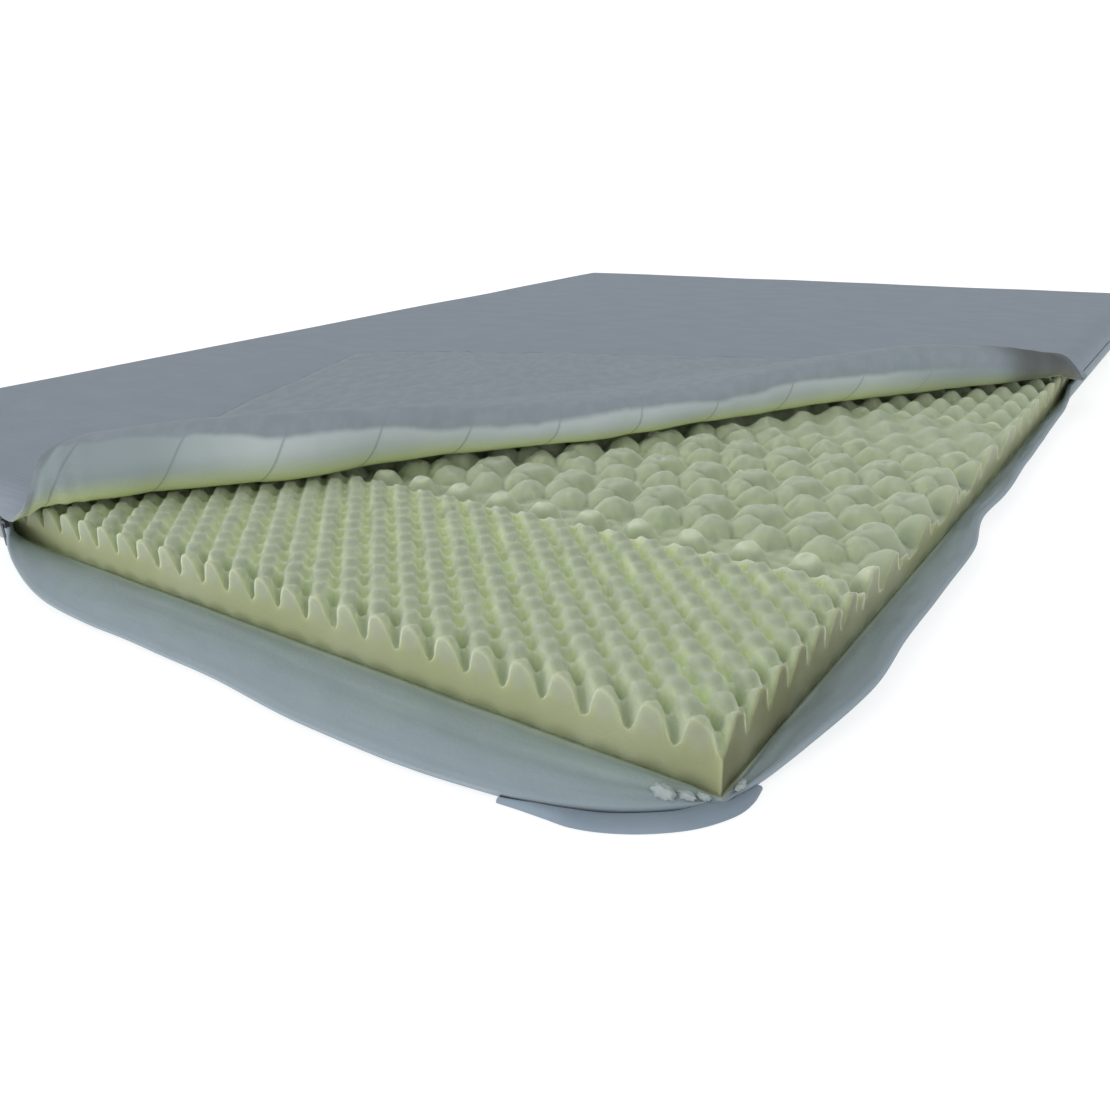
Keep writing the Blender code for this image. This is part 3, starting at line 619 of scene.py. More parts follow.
def blend_colours(tree, amount, low, high):
    """Colour from low to high as amount goes from 0 to 1; either may be a socket."""
    node = tree.nodes.new("ShaderNodeMix")
    node.data_type = "RGBA"
    tree.links.new(amount.socket, node.inputs["Factor"])
    for value, name in ((low, "A"), (high, "B")):
        socket = [s for s in node.inputs if s.name == name and s.type == "RGBA"][0]
        if isinstance(value, tuple):
            socket.default_value = (*value, 1.0)
        else:
            tree.links.new(value, socket)
    return [s for s in node.outputs if s.type == "RGBA"][0]


def finish(tree, shader, colour, height, strength, distance):
    """Give the shader its colour and its fine relief."""
    tree.links.new(colour, shader.inputs["Base Color"])
    node = add_node(tree, "ShaderNodeBump",
                    {"Strength": strength, "Distance": distance, "Height": height})
    tree.links.new(node.outputs[0], shader.inputs["Normal"])


def fact(tree, name):
    node = tree.nodes.new("ShaderNodeAttribute")
    node.attribute_name = name
    return Sum(tree, node.outputs["Fac"])


def foam_material():
    mat, tree, shader = new_material("open-cell foam", 0.95)
    knob = fact(tree, "knob")
    # painted light and shade: pits painted lightest for light through the foam and the shade they
    # lose, tops greyer as painted shade
    top_painted_shade, slopes, pit_painted_light = (0.352, 0.394, 0.304), (0.480, 0.540, 0.378), (0.740, 0.830, 0.505)
    slab, pale, foot_painted_light = (0.385, 0.415, 0.235), (0.375, 0.408, 0.300), (0.480, 0.530, 0.350)
    deep = blend_colours(tree, fact(tree, "inside") * (1.0 - knob.eased(0.0, 0.80)), slopes, pit_painted_light)
    top = blend_colours(tree, knob.eased(0.62, 0.92), deep, top_painted_shade)
    beyond = fact(tree, "middle") + fact(tree, "far") + fact(tree, "last")
    # painted shade and light: in the coarser zones the low parts are painted darker and the tops
    # lighter
    coarse_light_and_shade = blend_colours(tree, knob.eased(0.55, 1.0),
                           (0.362, 0.415, 0.298), (0.450, 0.500, 0.375))
    top = blend_colours(tree, beyond * 0.65, top, coarse_light_and_shade)
    # painted light: the border balls are painted palest, for the light they catch
    ball = fact(tree, "ball").eased(0.05, 0.70) * 0.8
    top = blend_colours(tree, ball, top, (0.590, 0.650, 0.480))
    side = blend_colours(tree, fact(tree, "lobe"), slab, pale)
    # painted light: the cut faces are painted lighter just above the floor, where the crease would
    # lie in shade
    low = 1.0 - parts(tree, object_place(tree))[2].eased(0.004, 0.014)
    side = blend_colours(tree, low * 0.8, side, foot_painted_light)
    # painted shade on the cut faces, from the attribute that cut_faces writes
    side = blend_colours(tree, fact(tree, "cut_face_painted_shade"), side, (0.125, 0.130, 0.066))
    both = blend_colours(tree, fact(tree, "cut"), top, side)
    cloud = noise(tree, 9.0, 3.0).eased(0.35, 0.75) * 0.35
    tint = blend_colours(tree, cloud, both, (0.47, 0.50, 0.39))
    cells = add_node(tree, "ShaderNodeTexVoronoi",
                     {"Vector": object_place(tree), "Scale": 900.0, "Detail": 2.0})
    grain = Sum(tree, cells.outputs["Distance"]) * 0.6 + noise(tree, 420.0, 4.0) * 0.8
    finish(tree, shader, tint, grain, 0.35, 0.0012)
    shader.inputs["Subsurface Weight"].default_value = 1.0
    shader.inputs["Subsurface Scale"].default_value = 1.0
    shader.inputs["Subsurface Radius"].default_value = (0.0190, 0.0190, 0.0140)
    return mat


flat_mesh = foam.data
foam.data = frozen(foam, foam_tree(foam_material()), FOAM_SIZES)
bpy.data.meshes.remove(flat_mesh)
print("foam:", len(foam.data.polygons), "faces")

# %% [markdown]
# ## The cut faces
# On the open sides the slab was cut straight through the knobs. The soft lobes stand a little
# proud of the firm slab below them, with a round lower edge, which catches the light. These
# points are moved in code after the tree, because they depend on the side that they are on. The
# same step writes down which points are cut, and how much painted shade each gets, for the
# material: the long cut face is painted darker towards the open corner, where it lies in shade,
# and the near one a little at the corner.

# %% Lobes on the cut faces
LOBE_OUT, BOW = 0.0012, 0.0012
# lobes on each cut face: first one, pitch, and the stretch of the edge with that pitch
NEAR_LOBES = ((0.016, 0.034, -1, 9),)
RIGHT_LOBES = ((0.019, 0.034, -1, 0.252), (0.2710, 0.0485, 0.252, 0.643),
               (0.689, 0.098, 0.643, 0.81), (0.8325, 0.055, 0.81, 9))


def cut_faces(mesh):
    count = len(mesh.vertices)
    co, rise = np.empty(count * 3), np.empty(count, dtype=np.float32)
    mesh.vertices.foreach_get("co", co)
    mesh.attributes["rise"].data.foreach_get("value", rise)
    co = co.reshape(-1, 3)
    a, b, z = WIDTH / 2 - co[:, 0], co[:, 1] + LENGTH / 2, co[:, 2]
    near, right = b < 1e-4, a < 1e-4
    lobe = np.zeros(count)
    for mask, along, rows in ((near, a, NEAR_LOBES), (right, b, RIGHT_LOBES)):
        for first, pitch, low, high in rows:
            part = mask & (along >= low) & (along < high)
            off = np.abs((along - first + pitch / 2) % pitch - pitch / 2) / pitch
            floor = 0.0290 + 0.016 * (off / 0.42) ** 2
            lobe[part] = smooth((z[part] - floor[part]) / 0.012)
    bow = np.abs(BOW * relief(a * 9 + b * 9, z * 30, 5)) * smooth(z / 0.02)
    co[near, 1] -= LOBE_OUT * lobe[near] + bow[near]
    co[right, 0] += LOBE_OUT * lobe[right] + bow[right]
    mesh.vertices.foreach_set("co", co.ravel())
    # painted shade: the long cut face darker towards the open corner, the near one a little at the
    # corner
    cut_face_painted_shade = np.where(right, 0.97 - 0.75 * smooth(b / 0.42) ** 0.8, 0.0)
    cut_face_painted_shade = np.where(near, 0.30 * (1 - smooth(a / 0.10)), cut_face_painted_shade)
    keep_facts(mesh, {"lobe": lobe, "cut": (rise < 0.999) | near | right, "cut_face_painted_shade": cut_face_painted_shade,
                      "inside": smooth((np.minimum(a, b) - 0.002) / 0.03)})
    mesh.update()


cut_faces(foam.data)
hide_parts("foam_core")
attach(foam, "root")

# %% [markdown]
# ## The lid: one flat cut, folded by a rule
# The lid is a single quilted panel. A simulation could throw the corner back, but it wouldn't
# land where the photograph has it, so the fold is a mapping: each point of the flat panel is
# carried over the closed edges, round the roll, or on to the flap. Its place is measured square
# to the fold line (s) and along it (t, or `along` when counted from the line's left end).

# %% Where a point of the flat lid goes
def fold_frame(p, q):
    """Place across and along the fold, the roll's radius there, and where the roll starts."""
    s = p * NORMAL_A + q * NORMAL_B
    t = -p * NORMAL_B + q * NORMAL_A
    r = table(ROLL, t + FOLD_LEFT)
    return s, t, t + FOLD_LEFT, r, FOLD_D + LID_HALF + LID_CROWN + r


def edge_drop(ea, eb):
    """Travel in a, in b and downwards of cloth that is ea, eb past the shoulder's start."""
    e = np.maximum(np.hypot(ea, eb), 1e-9)
    turn = np.minimum(e / SHOULDER_R, pi / 2)
    rest = np.maximum(0, e - SHOULDER_R * pi / 2)
    scale = SHOULDER_R * np.sin(turn) / e - 1
    return ea * scale, eb * scale, SHOULDER_R * (1 - np.cos(turn)) + rest


def lid_middle(p, q):
    """The middle of the lid's thickness, for flat points p, q from its open corner."""
    s, t, along, r, start = fold_frame(p, q)
    end = start - pi * r
    turn = np.clip((start - s) / r, 0, pi)
    run = np.maximum(0, end - s)
    pos = np.where(s >= start, s, np.where(s >= end, start - r * np.sin(turn), start + run))
    lift = r * (1 - np.cos(turn)) - (2 * r - REST_LIFT) * smooth(run / SINK_RUN)
    z = LID_MID + np.where(s >= start, 0, lift)
    bulge = np.where(s >= start, 1 - smooth((s - start) / 0.080),
                     1 - smooth(((start - s) / (pi * r) - 0.45) / 0.55))
    pos = pos - bulge * table(BULGE, along)
    a = NORMAL_A * pos - NORMAL_B * t
    b = NORMAL_B * pos + NORMAL_A * t
    # past the roll the cloth is free of the fold, and drops over the closed edges
    free = smooth((s - start - 0.004) / 0.055)
    far_a, far_b = p > WIDTH / 2, q > LENGTH / 2
    ea, eb = np.where(far_a, p - WIDTH, -p), np.where(far_b, q - LENGTH, -q)
    out_a, out_b, down = edge_drop(np.maximum(0, ea + SHOULDER_IN),
                                   np.maximum(0, eb + SHOULDER_IN))
    a = a + np.where(far_a, 1, -1) * out_a * free
    b = b + np.where(far_b, 1, -1) * out_b * free
    past = np.maximum(0, -b - 0.004) + np.maximum(0, -a - 0.004)
    z = z - down * free - (1 - free) * np.minimum(0.016, 0.55 * past)
    return world(a, b, z)


def inset(p, q):
    """Distance of a flat point from the hem, round the corners too."""
    past_a = np.maximum(0, np.abs(p - WIDTH / 2) - (WIDTH / 2 - SHOULDER_IN))
    past_b = np.maximum(0, np.abs(q - LENGTH / 2) - (LENGTH / 2 - SHOULDER_IN))
    return HEM + SHOULDER_IN - np.hypot(past_a, past_b)


# %% [markdown]
# ## Quilting and creases
# Straight stitched channels cross the lid. Between two channels the wadding swells; at a channel
# both faces dip to the thread. Where the lid turns round the roll, the inner face is squeezed
# and the outer one stretched, so the dips get sharper and small creases start from them. The
# cloth is gathered at the roll's left end, and the turned corner ends in a small nub.

# %% Thickness and creases of the lid
def channel_wave(q):
    return np.abs(np.sin(pi * (q - CHANNEL_START) / CHANNEL))


def lid_half(p, q, share):
    """Half thickness; share is how much of the channels' swelling a face shows."""
    puff = smooth((inset(p, q) - 0.030) / 0.080) * share
    half = LID_HALF + LID_CROWN * (0.45 + (channel_wave(q) ** 0.7 - 0.45) * puff)
    return LID_RIM + (half - LID_RIM) * smooth(inset(p, q) / 0.018)


def lid_creases(p, q):
    """Shift of both faces along the normal, and of the underside alone."""
    s, t, along, r, start = fold_frame(p, q)
    turned = smooth((start + 0.02 - s) / 0.03)
    flap = smooth((start - pi * r + 0.02 - s) / 0.05)
    slow = relief(p * 2.3, q * 3.1, 11) * 0.0020 + relief(p * 7, q * 5, 12) * 0.0008
    dents = relief(t * 9, s * 6, 13) * 0.0018 + relief(t * 26, s * 14, 14) * 0.0007
    gathered = 1 - smooth((along - 0.01) / 0.05)
    pleats = gathered * 0.0011 * np.sin(t * 330 + s * 45 + relief(s * 20, t * 9, 22))
    both = (1 - turned) * slow * smooth(inset(p, q) / 0.06) + turned * (dents + pleats)
    # the flap's crinkles: long sharp folds along the roll, and short ones in patches
    drift = relief(t * 7, s * 9, 21)
    folds = np.abs(relief(t * 6 + drift, s * 26 + t * 3 + drift, 15))
    patches = smooth(relief(t * 6, s * 8, 19) + 0.4)
    small = np.abs(relief(t * 16, s * 62 - t * 8 + drift, 16)) * patches
    under = turned * (1 - flap) * 0.0006 * relief(t * 22, s * 12, 17)
    under = under + flap * (0.0006 - 0.0019 * folds - 0.0007 * small)
    under = under - (turned - 0.8 * flap) * 0.0012 * (1 - channel_wave(q) ** 0.35)
    corner = np.hypot(p + HEM - 0.016, q + HEM - 0.016)
    nub = np.exp(-(corner / 0.013) ** 2) * (1 + 0.5 * relief(p * 90, q * 90, 18))
    return both, under - 0.0085 * nub


def line_of(stops):
    """Coordinates from one stop to the next, each with its own step."""
    out = [stops[0][0]]
    for (low, step), (high, _) in zip(stops, stops[1:]):
        count = max(1, round((high - low) / step))
        out += list(low + (high - low) * np.arange(1, count + 1) / count)
    return np.array(out)


def lid_grid():
    """Flat points of the lid: a grid whose corner squares are bent round to the hem's arcs."""
    ps = line_of(((-HEM, 0.0055), (SHOULDER_IN, 0.0068), (0.93, 0.0150),
                  (WIDTH - SHOULDER_IN, 0.0062), (WIDTH + HEM, 0)))
    qs = line_of(((-HEM, 0.0055), (SHOULDER_IN, 0.0068), (1.25, 0.0110),
                  (LENGTH - SHOULDER_IN, 0.0062), (LENGTH + HEM, 0)))
    p, q = np.meshgrid(ps, qs, indexing="xy")
    return rounded(p, q, ((False, False), (False, True), (True, False), (True, True)))


def lid_mesh(mat):
    p, q = lid_grid()
    rows, columns = p.shape
    p, q = p.ravel(), q.ravel()
    count, step = len(p), 0.0015
    middle = lid_middle(p, q)
    along_p = lid_middle(p + step, q) - lid_middle(p - step, q)
    along_q = lid_middle(p, q + step) - lid_middle(p, q - step)
    normal = np.cross(along_q, along_p)
    normal /= np.linalg.norm(normal, axis=1, keepdims=True)
    both, under = lid_creases(p, q)
    upper = middle + normal * (lid_half(p, q, 0.3) + both)[:, None]
    lower = middle + normal * (both - lid_half(p, q, 1.0) - under)[:, None]
    index = np.arange(count).reshape(rows, columns)
    rim = np.concatenate([index[0], index[1:, -1], index[-1, -2::-1], index[-2:0:-1, 0]]).tolist()
    faces = grid_faces(rows, columns)
    faces += [[i + count for i in face[::-1]] for face in faces]
    faces += [[i, j, j + count, i + count] for i, j in zip(rim[1:] + rim[:1], rim)]
    obj = new_piece("lid", np.concatenate([upper, lower]), faces, mat)
    s, t, along, r, start = fold_frame(p, q)
    round_roll = np.clip((start - s) / (pi * r), -1, 2)
    facts = {"flat_p": p, "flat_q": q, "hem_in": inset(p, q), "round": round_roll,
             "past_band": start - pi * r * table(BAND, along) - s,
             # painted light on the roll's front, falling off to painted shade at its two ends
             "front": smooth((along - 0.07) / 0.15) * smooth((1.16 - along) / 0.20),
             "tip": smooth((along - 0.90) / 0.30), "apex": smooth((along - 1.17) / 0.09)}
    keep_facts(obj.data, {name: np.tile(values, 2) for name, values in facts.items()})
    keep_facts(obj.data, {"underside": np.repeat([0.0, 1.0], count)})
    return obj


# %% [markdown]
# ## The lid's finish
# The upper face is a soft grey knit; the underside, which shows on the roll and the flap, is a
# fleece. Fine ridges of the knit run with the channels. The fleece is painted light on the roll's
# front, where light falls, and darker at the roll's ends and on the flap, as painted shade. The
# roll's lower side is painted yellow, as painted light bounced from the foam, its right end is
# painted dark, as shade, and a darker line of painted shade runs along the hem of the underside.
# Patterns follow the flat panel's own coordinates, which are kept on the mesh as attributes, so
# they bend with the cloth.

# %% Lid material
def flat_noise(tree, scale_p, scale_q, detail):
    """Noise on the cloth's own flat coordinates."""
    flat = add_node(tree, "ShaderNodeCombineXYZ", {0: fact(tree, "flat_p") * scale_p,
                                                   1: fact(tree, "flat_q") * scale_q})
    node = add_node(tree, "ShaderNodeTexNoise",
                    {"Vector": flat.outputs[0], "Scale": 1.0, "Detail": detail})
    return Sum(tree, node.outputs["Fac"])


def add_sheen(shader, weight, roughness):
    shader.inputs["Sheen Weight"].default_value = weight
    shader.inputs["Sheen Roughness"].default_value = roughness


def lid_material():
    mat, tree, shader = new_material("quilted lid", 0.92)
    underside, around, tip = (fact(tree, name) for name in ("underside", "round", "tip"))
    q = fact(tree, "flat_q")
    cloud = flat_noise(tree, 14, 20, 3.0)
    patch = cloud.eased(0.3, 0.7)
    flap = (fact(tree, "past_band") + (cloud - 0.5) * 0.012).eased(-0.002, 0.005) * underside
    # painted light: the roll's lower side is painted yellow for light bounced from the foam
    low = (1.0 - around.eased(0.12, 0.52)) * around.eased(-0.2, 0.0) * underside
    low = low * (1.0 - tip * 0.35)
    to_channel = ((q - CHANNEL_START) / CHANNEL * pi).sin().abs()
    stitch = (1.0 - to_channel.eased(0.0, 0.075)) * (1.0 - flap * 0.85) * (0.25 + underside * 0.65)
    stitch = stitch * (1.0 - tip * 0.8)
    upper = blend_colours(tree, patch, (0.252, 0.290, 0.338), (0.266, 0.304, 0.354))
    # painted light: the underside is painted this light on the roll's front, where light falls
    fleece = blend_colours(tree, patch, (0.455, 0.512, 0.516), (0.500, 0.557, 0.557))
    # painted shade at the roll's two ends
    fleece = blend_colours(tree, fact(tree, "front"), (0.300, 0.355, 0.370), fleece)
    fleece = blend_colours(tree, low * 0.9, fleece, (0.80, 0.88, 0.40))
    # painted shade: the flap's underside is painted darker than the roll's front
    flap_painted_shade = blend_colours(tree, flat_noise(tree, 40, 60, 5.0).eased(0.35, 0.7),
                             (0.254, 0.298, 0.328), (0.280, 0.325, 0.356))
    under = blend_colours(tree, flap, fleece, flap_painted_shade)
    cloth = blend_colours(tree, underside, upper, under)
    cloth = blend_colours(tree, stitch * 0.55, cloth, (0.18, 0.21, 0.24))
    shade = fact(tree, "apex") * (around.eased(0.0, 0.25) * (0.55 + cloud * 0.5))
    cloth = blend_colours(tree, shade, cloth, (0.072, 0.073, 0.066))
    # painted shade: a darker line along the hem of the underside, where the flap's edge lies on the
    # lid
    edge = 1.0 - fact(tree, "hem_in").eased(0.004, 0.010)
    cloth = blend_colours(tree, edge * underside * 0.55, cloth, (0.15, 0.175, 0.195))
    ridges = (q * (2 * pi / 0.0062)).sin() * 0.5 + 0.5
    knit = ridges * 0.5 + flat_noise(tree, 300, 700, 2.0) * 0.5
    height = knit * (1.0 - underside * 0.8) + noise(tree, 520.0, 3.0) * 0.5
    finish(tree, shader, cloth, height, 0.5, 0.0008)
    add_sheen(shader, 0.02, 0.6)
    return mat


lid = lid_mesh(lid_material())
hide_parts("lid_panel")
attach(lid, "root")
print("lid:", len(lid.data.polygons), "faces")

# %% [markdown]
# ## The border wall
# The wall is a padded strip that stands round the foam where the zip is closed and lies down
# where it is open. It is built as a loft: a cross-section, given by how far its free edge lies
# out and up, is set at many stations round the foam. Long soft creases and the lumps of the
# wadding are pushed into its upper face.

# %% Stations round the foam
NEAR_STEP, FAR_STEP = 0.006, 0.020
CLOSED_OUT, CLOSED_UP = 0.009, 0.0325     # the wall's edge where the zip is closed
# the closed corners, on the way from the right side round to the left: centre, first way out
CLOSED_CORNERS = ((CORNER_R, LENGTH - CORNER_R, pi),
                  (WIDTH - CORNER_R, LENGTH - CORNER_R, pi / 2), (WIDTH - CORNER_R, CORNER_R, 0.0))


def arc(corner, radius, count):
    """Plan point and way out at places round a closed corner."""
    ca, cb, first = corner
    return [(ca + radius * cos(turn), cb + radius * sin(turn), cos(turn), sin(turn))
            for turn in first - np.linspace(0, pi / 2, count)]


def wall_stations():
    """Plan point, way out, side ('left', 'right' or None) and distance from the open corner."""
    out = [(d, 0.0, 0.0, -1.0, "left", d) for d in np.arange(0.86, 0.0, -NEAR_STEP)]
    out += [(0.0, 0.0, -sin(turn), -cos(turn), "left" if turn < pi / 4 else "right", 0.0)
            for turn in np.linspace(0, pi / 2, 17)]
    out += [(0.0, d, -1.0, 0.0, "right", d) for d in np.arange(NEAR_STEP, 1.20, NEAR_STEP)]
    out += [(0.0, d, -1.0, 0.0, None, d)
            for d in np.arange(1.22, LENGTH - CORNER_R - 0.01, FAR_STEP)]
    first, second, third = (arc(corner, CORNER_R, 13) for corner in CLOSED_CORNERS)
    far = [(a, LENGTH, 0.0, 1.0) for a in np.arange(0.04, WIDTH - 0.03, FAR_STEP)]
    side = [(WIDTH, b, 1.0, 0.0) for b in np.arange(LENGTH - 0.04, 0.03, -FAR_STEP)]
    near = [(a, 0.0, 0.0, -1.0) for a in np.arange(WIDTH - 0.04, 0.87, -FAR_STEP)]
    return out + [(*place, None, 0.0) for place in first + far + second + side + third + near]


def wall_edge(side, d):
    """Free edge of the wall, out and up, and the lift between."""
    if side is None:
        return CLOSED_OUT, CLOSED_UP, 0.0
    rows = WALL_LEFT if side == "left" else WALL_RIGHT
    return tuple(float(table(rows, d, c)) for c in (1, 2, 3))


# %% Lofting the wall
WALL_LEVELS = 14
WALL_FLAT = 0.075                         # the strip's own width, for its patterns


def relief_at(x, y, seed):
    return float(relief(np.array(x), np.array(y), seed))


def wall_creases(side, d, v):
    """Lift of the wall's upper face: a long crease on the left, and lumps of wadding."""
    if side is None:
        return 0.0006 * relief_at(d * 8, v * 2, 31)
    lumps = (relief_at(d * 16, v * 2.2, 32 if side == "left" else 33) * 0.0013
             + relief_at(d * 55, v * 5, 34) * 0.0006)
    crease = 0.0
    if side == "left":
        line = 0.47 + 0.05 * sin(d * 9)
        crease = -0.0016 * np.exp(-((v - line) / 0.05) ** 2) * smooth((0.34 - abs(d - 0.30)) / 0.1)
    return (lumps + crease) * smooth(min(v, 1 - v) / 0.12)


def wall_section(side, d):
    """Points across the wall, how far out and up: the upper face, then back along the lower."""
    out, up, lift = wall_edge(side, d)
    if side is not None:
        calm = smooth((0.72 - d) / 0.1) if side == "left" else 1
        out += 0.0008 * relief_at(d * 14, 3.0, 41) * smooth(d / 0.05) * calm
    closed = smooth((up - 0.020) / 0.0125) if side else 1.0
    levels = np.linspace(0, 1, WALL_LEVELS + 1)
    line = np.stack([WALL_FOOT + (out - WALL_FOOT) * levels
                     + CLOSED_BULGE * closed * np.sin(pi * levels),
                     0.0048 + (up - 0.0048) * levels + lift * np.sin(pi * levels)], axis=1)
    width = min(1.0, max(0.35, np.linalg.norm(line[-1] - line[0]) / 0.024))
    tangent = np.gradient(line, axis=0)
    tangent /= np.linalg.norm(tangent, axis=1, keepdims=True)
    normal = np.stack([-tangent[:, 1], tangent[:, 0]], axis=1)
    half = width * (WALL_RIM + (WALL_HALF - WALL_RIM)
                    * smooth(np.minimum(levels, 1 - levels) / 0.25))
    lifted = half + [wall_creases(side, d, v) for v in levels]
    upper, lower = line + normal * lifted[:, None], line - normal * half[:, None]
    section = np.maximum(np.concatenate([upper, lower[::-1]]), (0.0004, 0.0002))
    return out, section, np.concatenate([levels, levels[::-1]])


def wall_mesh(mat):
    points, flat_u, flat_v = [], [], []
    stations, travelled, last = wall_stations(), 0.0, None
    for a, b, na, nb, side, d in stations:
        out, section, share = wall_section(side, d)
        here = np.array([a + na * out, b + nb * out])
        if last is not None:
            travelled += min(0.03, np.hypot(*(here - last)))
        last = here
        points += [(a + na * o, b + nb * o, z) for o, z in section]
        flat_u += [travelled] * len(section)
        flat_v += list(share * WALL_FLAT)
    faces = loft_faces(len(stations), 2 * (WALL_LEVELS + 1), closed=True)
    obj = new_piece("wall", world(*np.array(points).T), faces, mat)
    keep_facts(obj.data, {"flat_p": flat_u, "flat_q": flat_v})
    return obj


# %% [markdown]
# ## The wall's finish
# The inside of the wall is wadding held by a thin veil, bluer towards its edge, with darker
# streaks along it where the veil is drawn tight. Next to the foam it is painted palest and
# greenish, as painted light bounced from the foam into the crease.

# %% Wadding material
def wadding_material():
    mat, tree, shader = new_material("wadding", 0.96)
    across = fact(tree, "flat_q") / WALL_FLAT
    shade = (across * 0.8 + flat_noise(tree, 12, 26, 4.0) * 0.6 - 0.2).eased(0.15, 0.95)
    base = blend_colours(tree, shade, (0.320, 0.392, 0.384), (0.302, 0.360, 0.401))
    # painted light: paler and greener next to the foam, for light bounced into the crease
    foot_painted_light = (1.0 - across.eased(0.0, 0.22)) * 0.8
    base = blend_colours(tree, foot_painted_light, base, (0.540, 0.630, 0.520))
    streak = flat_noise(tree, 8, 160, 2.0).eased(0.45, 0.8) * 0.35
    base = blend_colours(tree, streak, base, (0.272, 0.313, 0.326))
    fluff = noise(tree, 260.0, 5.0) * 0.7 + noise(tree, 900.0, 2.0) * 0.3
    finish(tree, shader, base, fluff, 0.6, 0.0012)
    add_sheen(shader, 0.03, 0.7)
    return mat


wall = wall_mesh(wadding_material())
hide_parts("border_wall")
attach(wall, "root")
print("wall:", len(wall.data.polygons), "faces")

# %% [markdown]
# ## Facing at the open corner
# A smooth strip runs round the corner outside the zip. Its inner edge follows the wall's free
# edge and tucks under it on the right; its outer edge is given by points, joined by a spline. A
# rounded section is lofted between the two.

# %% Facing
def spline(points, count):
    """Points evenly spaced along a smooth curve through the given ones."""
    pts = np.asarray(points, dtype=float)
    ends = np.concatenate([[2 * pts[0] - pts[1]], pts, [2 * pts[-1] - pts[-2]]])
    dense = []
    for i in range(len(pts) - 1):
        p0, p1, p2, p3 = ends[i:i + 4]
        for u in np.linspace(0, 1, 24, endpoint=False):
            dense.append(0.5 * (2 * p1 + (p2 - p0) * u + (2 * p0 - 5 * p1 + 4 * p2 - p3) * u ** 2
                                + (3 * p1 - p0 - 3 * p2 + p3) * u ** 3))
    dense.append(pts[-1])
    dense = np.array(dense)
    along = np.concatenate([[0], np.cumsum(np.linalg.norm(np.diff(dense, axis=0), axis=1))])
    at = np.linspace(0, along[-1], count)
    return np.stack([np.interp(at, along, dense[:, k]) for k in range(pts.shape[1])], axis=1)


def seam_line(offset, count):
    """The wall's free edge round the open corner, moved out by an offset."""
    points = []
    for a, b, na, nb, side, d in wall_stations():
        if side is not None and d <= 0.13:
            out = wall_edge(side, d)[0] + offset
            at = (a + na * out, b + nb * out)
            if at[0] < 0.118 and at[1] < 0.030:
                points.append(at)
    return spline(spline(points, 14), count)


FACING_T, FACING_STATIONS = 0.0060, 72
# share of the way from the inner to the outer edge, share of the thickness
FACING_SECTION = ((0.0, 0.0), (0.0, 0.72), (0.06, 0.84), (0.16, 0.94), (0.32, 1.0), (0.50, 1.0),
                  (0.68, 0.92), (0.84, 0.74), (0.94, 0.50), (0.985, 0.26), (1.0, 0.0))


def facing_mesh(mat):
    count, size = FACING_STATIONS, len(FACING_SECTION)
    inner, outer = seam_line(0.0013, count), spline(FACING_OUT, count)
    tucked = smooth((np.arange(count) / (count - 1) - 0.62) / 0.12)[:, None]
    inner = inner + (seam_line(-0.0010, count) - inner) * tucked
    points = []
    for k in range(count):
        f = k / (count - 1)
        top = FACING_T * min(1.0, 0.66 + 2.6 * min(f, 1 - f))
        dent = 1 + 0.10 * relief_at(f * 9, 0.5, 51)
        for u, h in FACING_SECTION:
            points.append((*(inner[k] + (outer[k] - inner[k]) * u),
                           h * top * (dent if 0 < h < 1 else 1)))
    faces = loft_faces(count, size, closed=False)
    faces += [list(range(size))[::-1], [(count - 1) * size + k for k in range(size)]]
    return new_piece("facing", world(*np.array(points).T), faces, mat, shade_angle=0.9)


def woven_material(name, light, dark, roughness):
    """Woven cloth: two crossing sets of fine threads and a slow change of shade."""
    mat, tree, shader = new_material(name, roughness)
    cloud = noise(tree, 16.0, 3.0).eased(0.3, 0.7)
    x, y, _ = parts(tree, object_place(tree))
    weave = (x * 5200).sin() * (y * 5200).sin() * 0.5 + noise(tree, 300.0, 2.0)
    finish(tree, shader, blend_colours(tree, cloud, dark, light), weave, 0.25, 0.0005)
    return mat


facing = facing_mesh(woven_material("facing cloth", (0.249, 0.308, 0.371),
                                    (0.217, 0.270, 0.330), 0.7))
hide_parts("corner_facing")
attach(facing, "root")

# %% [markdown]
# ## Teeth
# A coil zip is a row of loops that are all alike, so one rounded tooth is repeated along a curve
# by a tree, and a thin cord joins them. The same tree makes the closed chain between lid and
# wall and the open half round the corner.

# %% The zip's tree
ZIP_SIZES = {"Tooth pitch": 0.0030, "Tooth across": 0.0023, "Tooth along": 0.0021,
             "Cord radius": 0.0008}


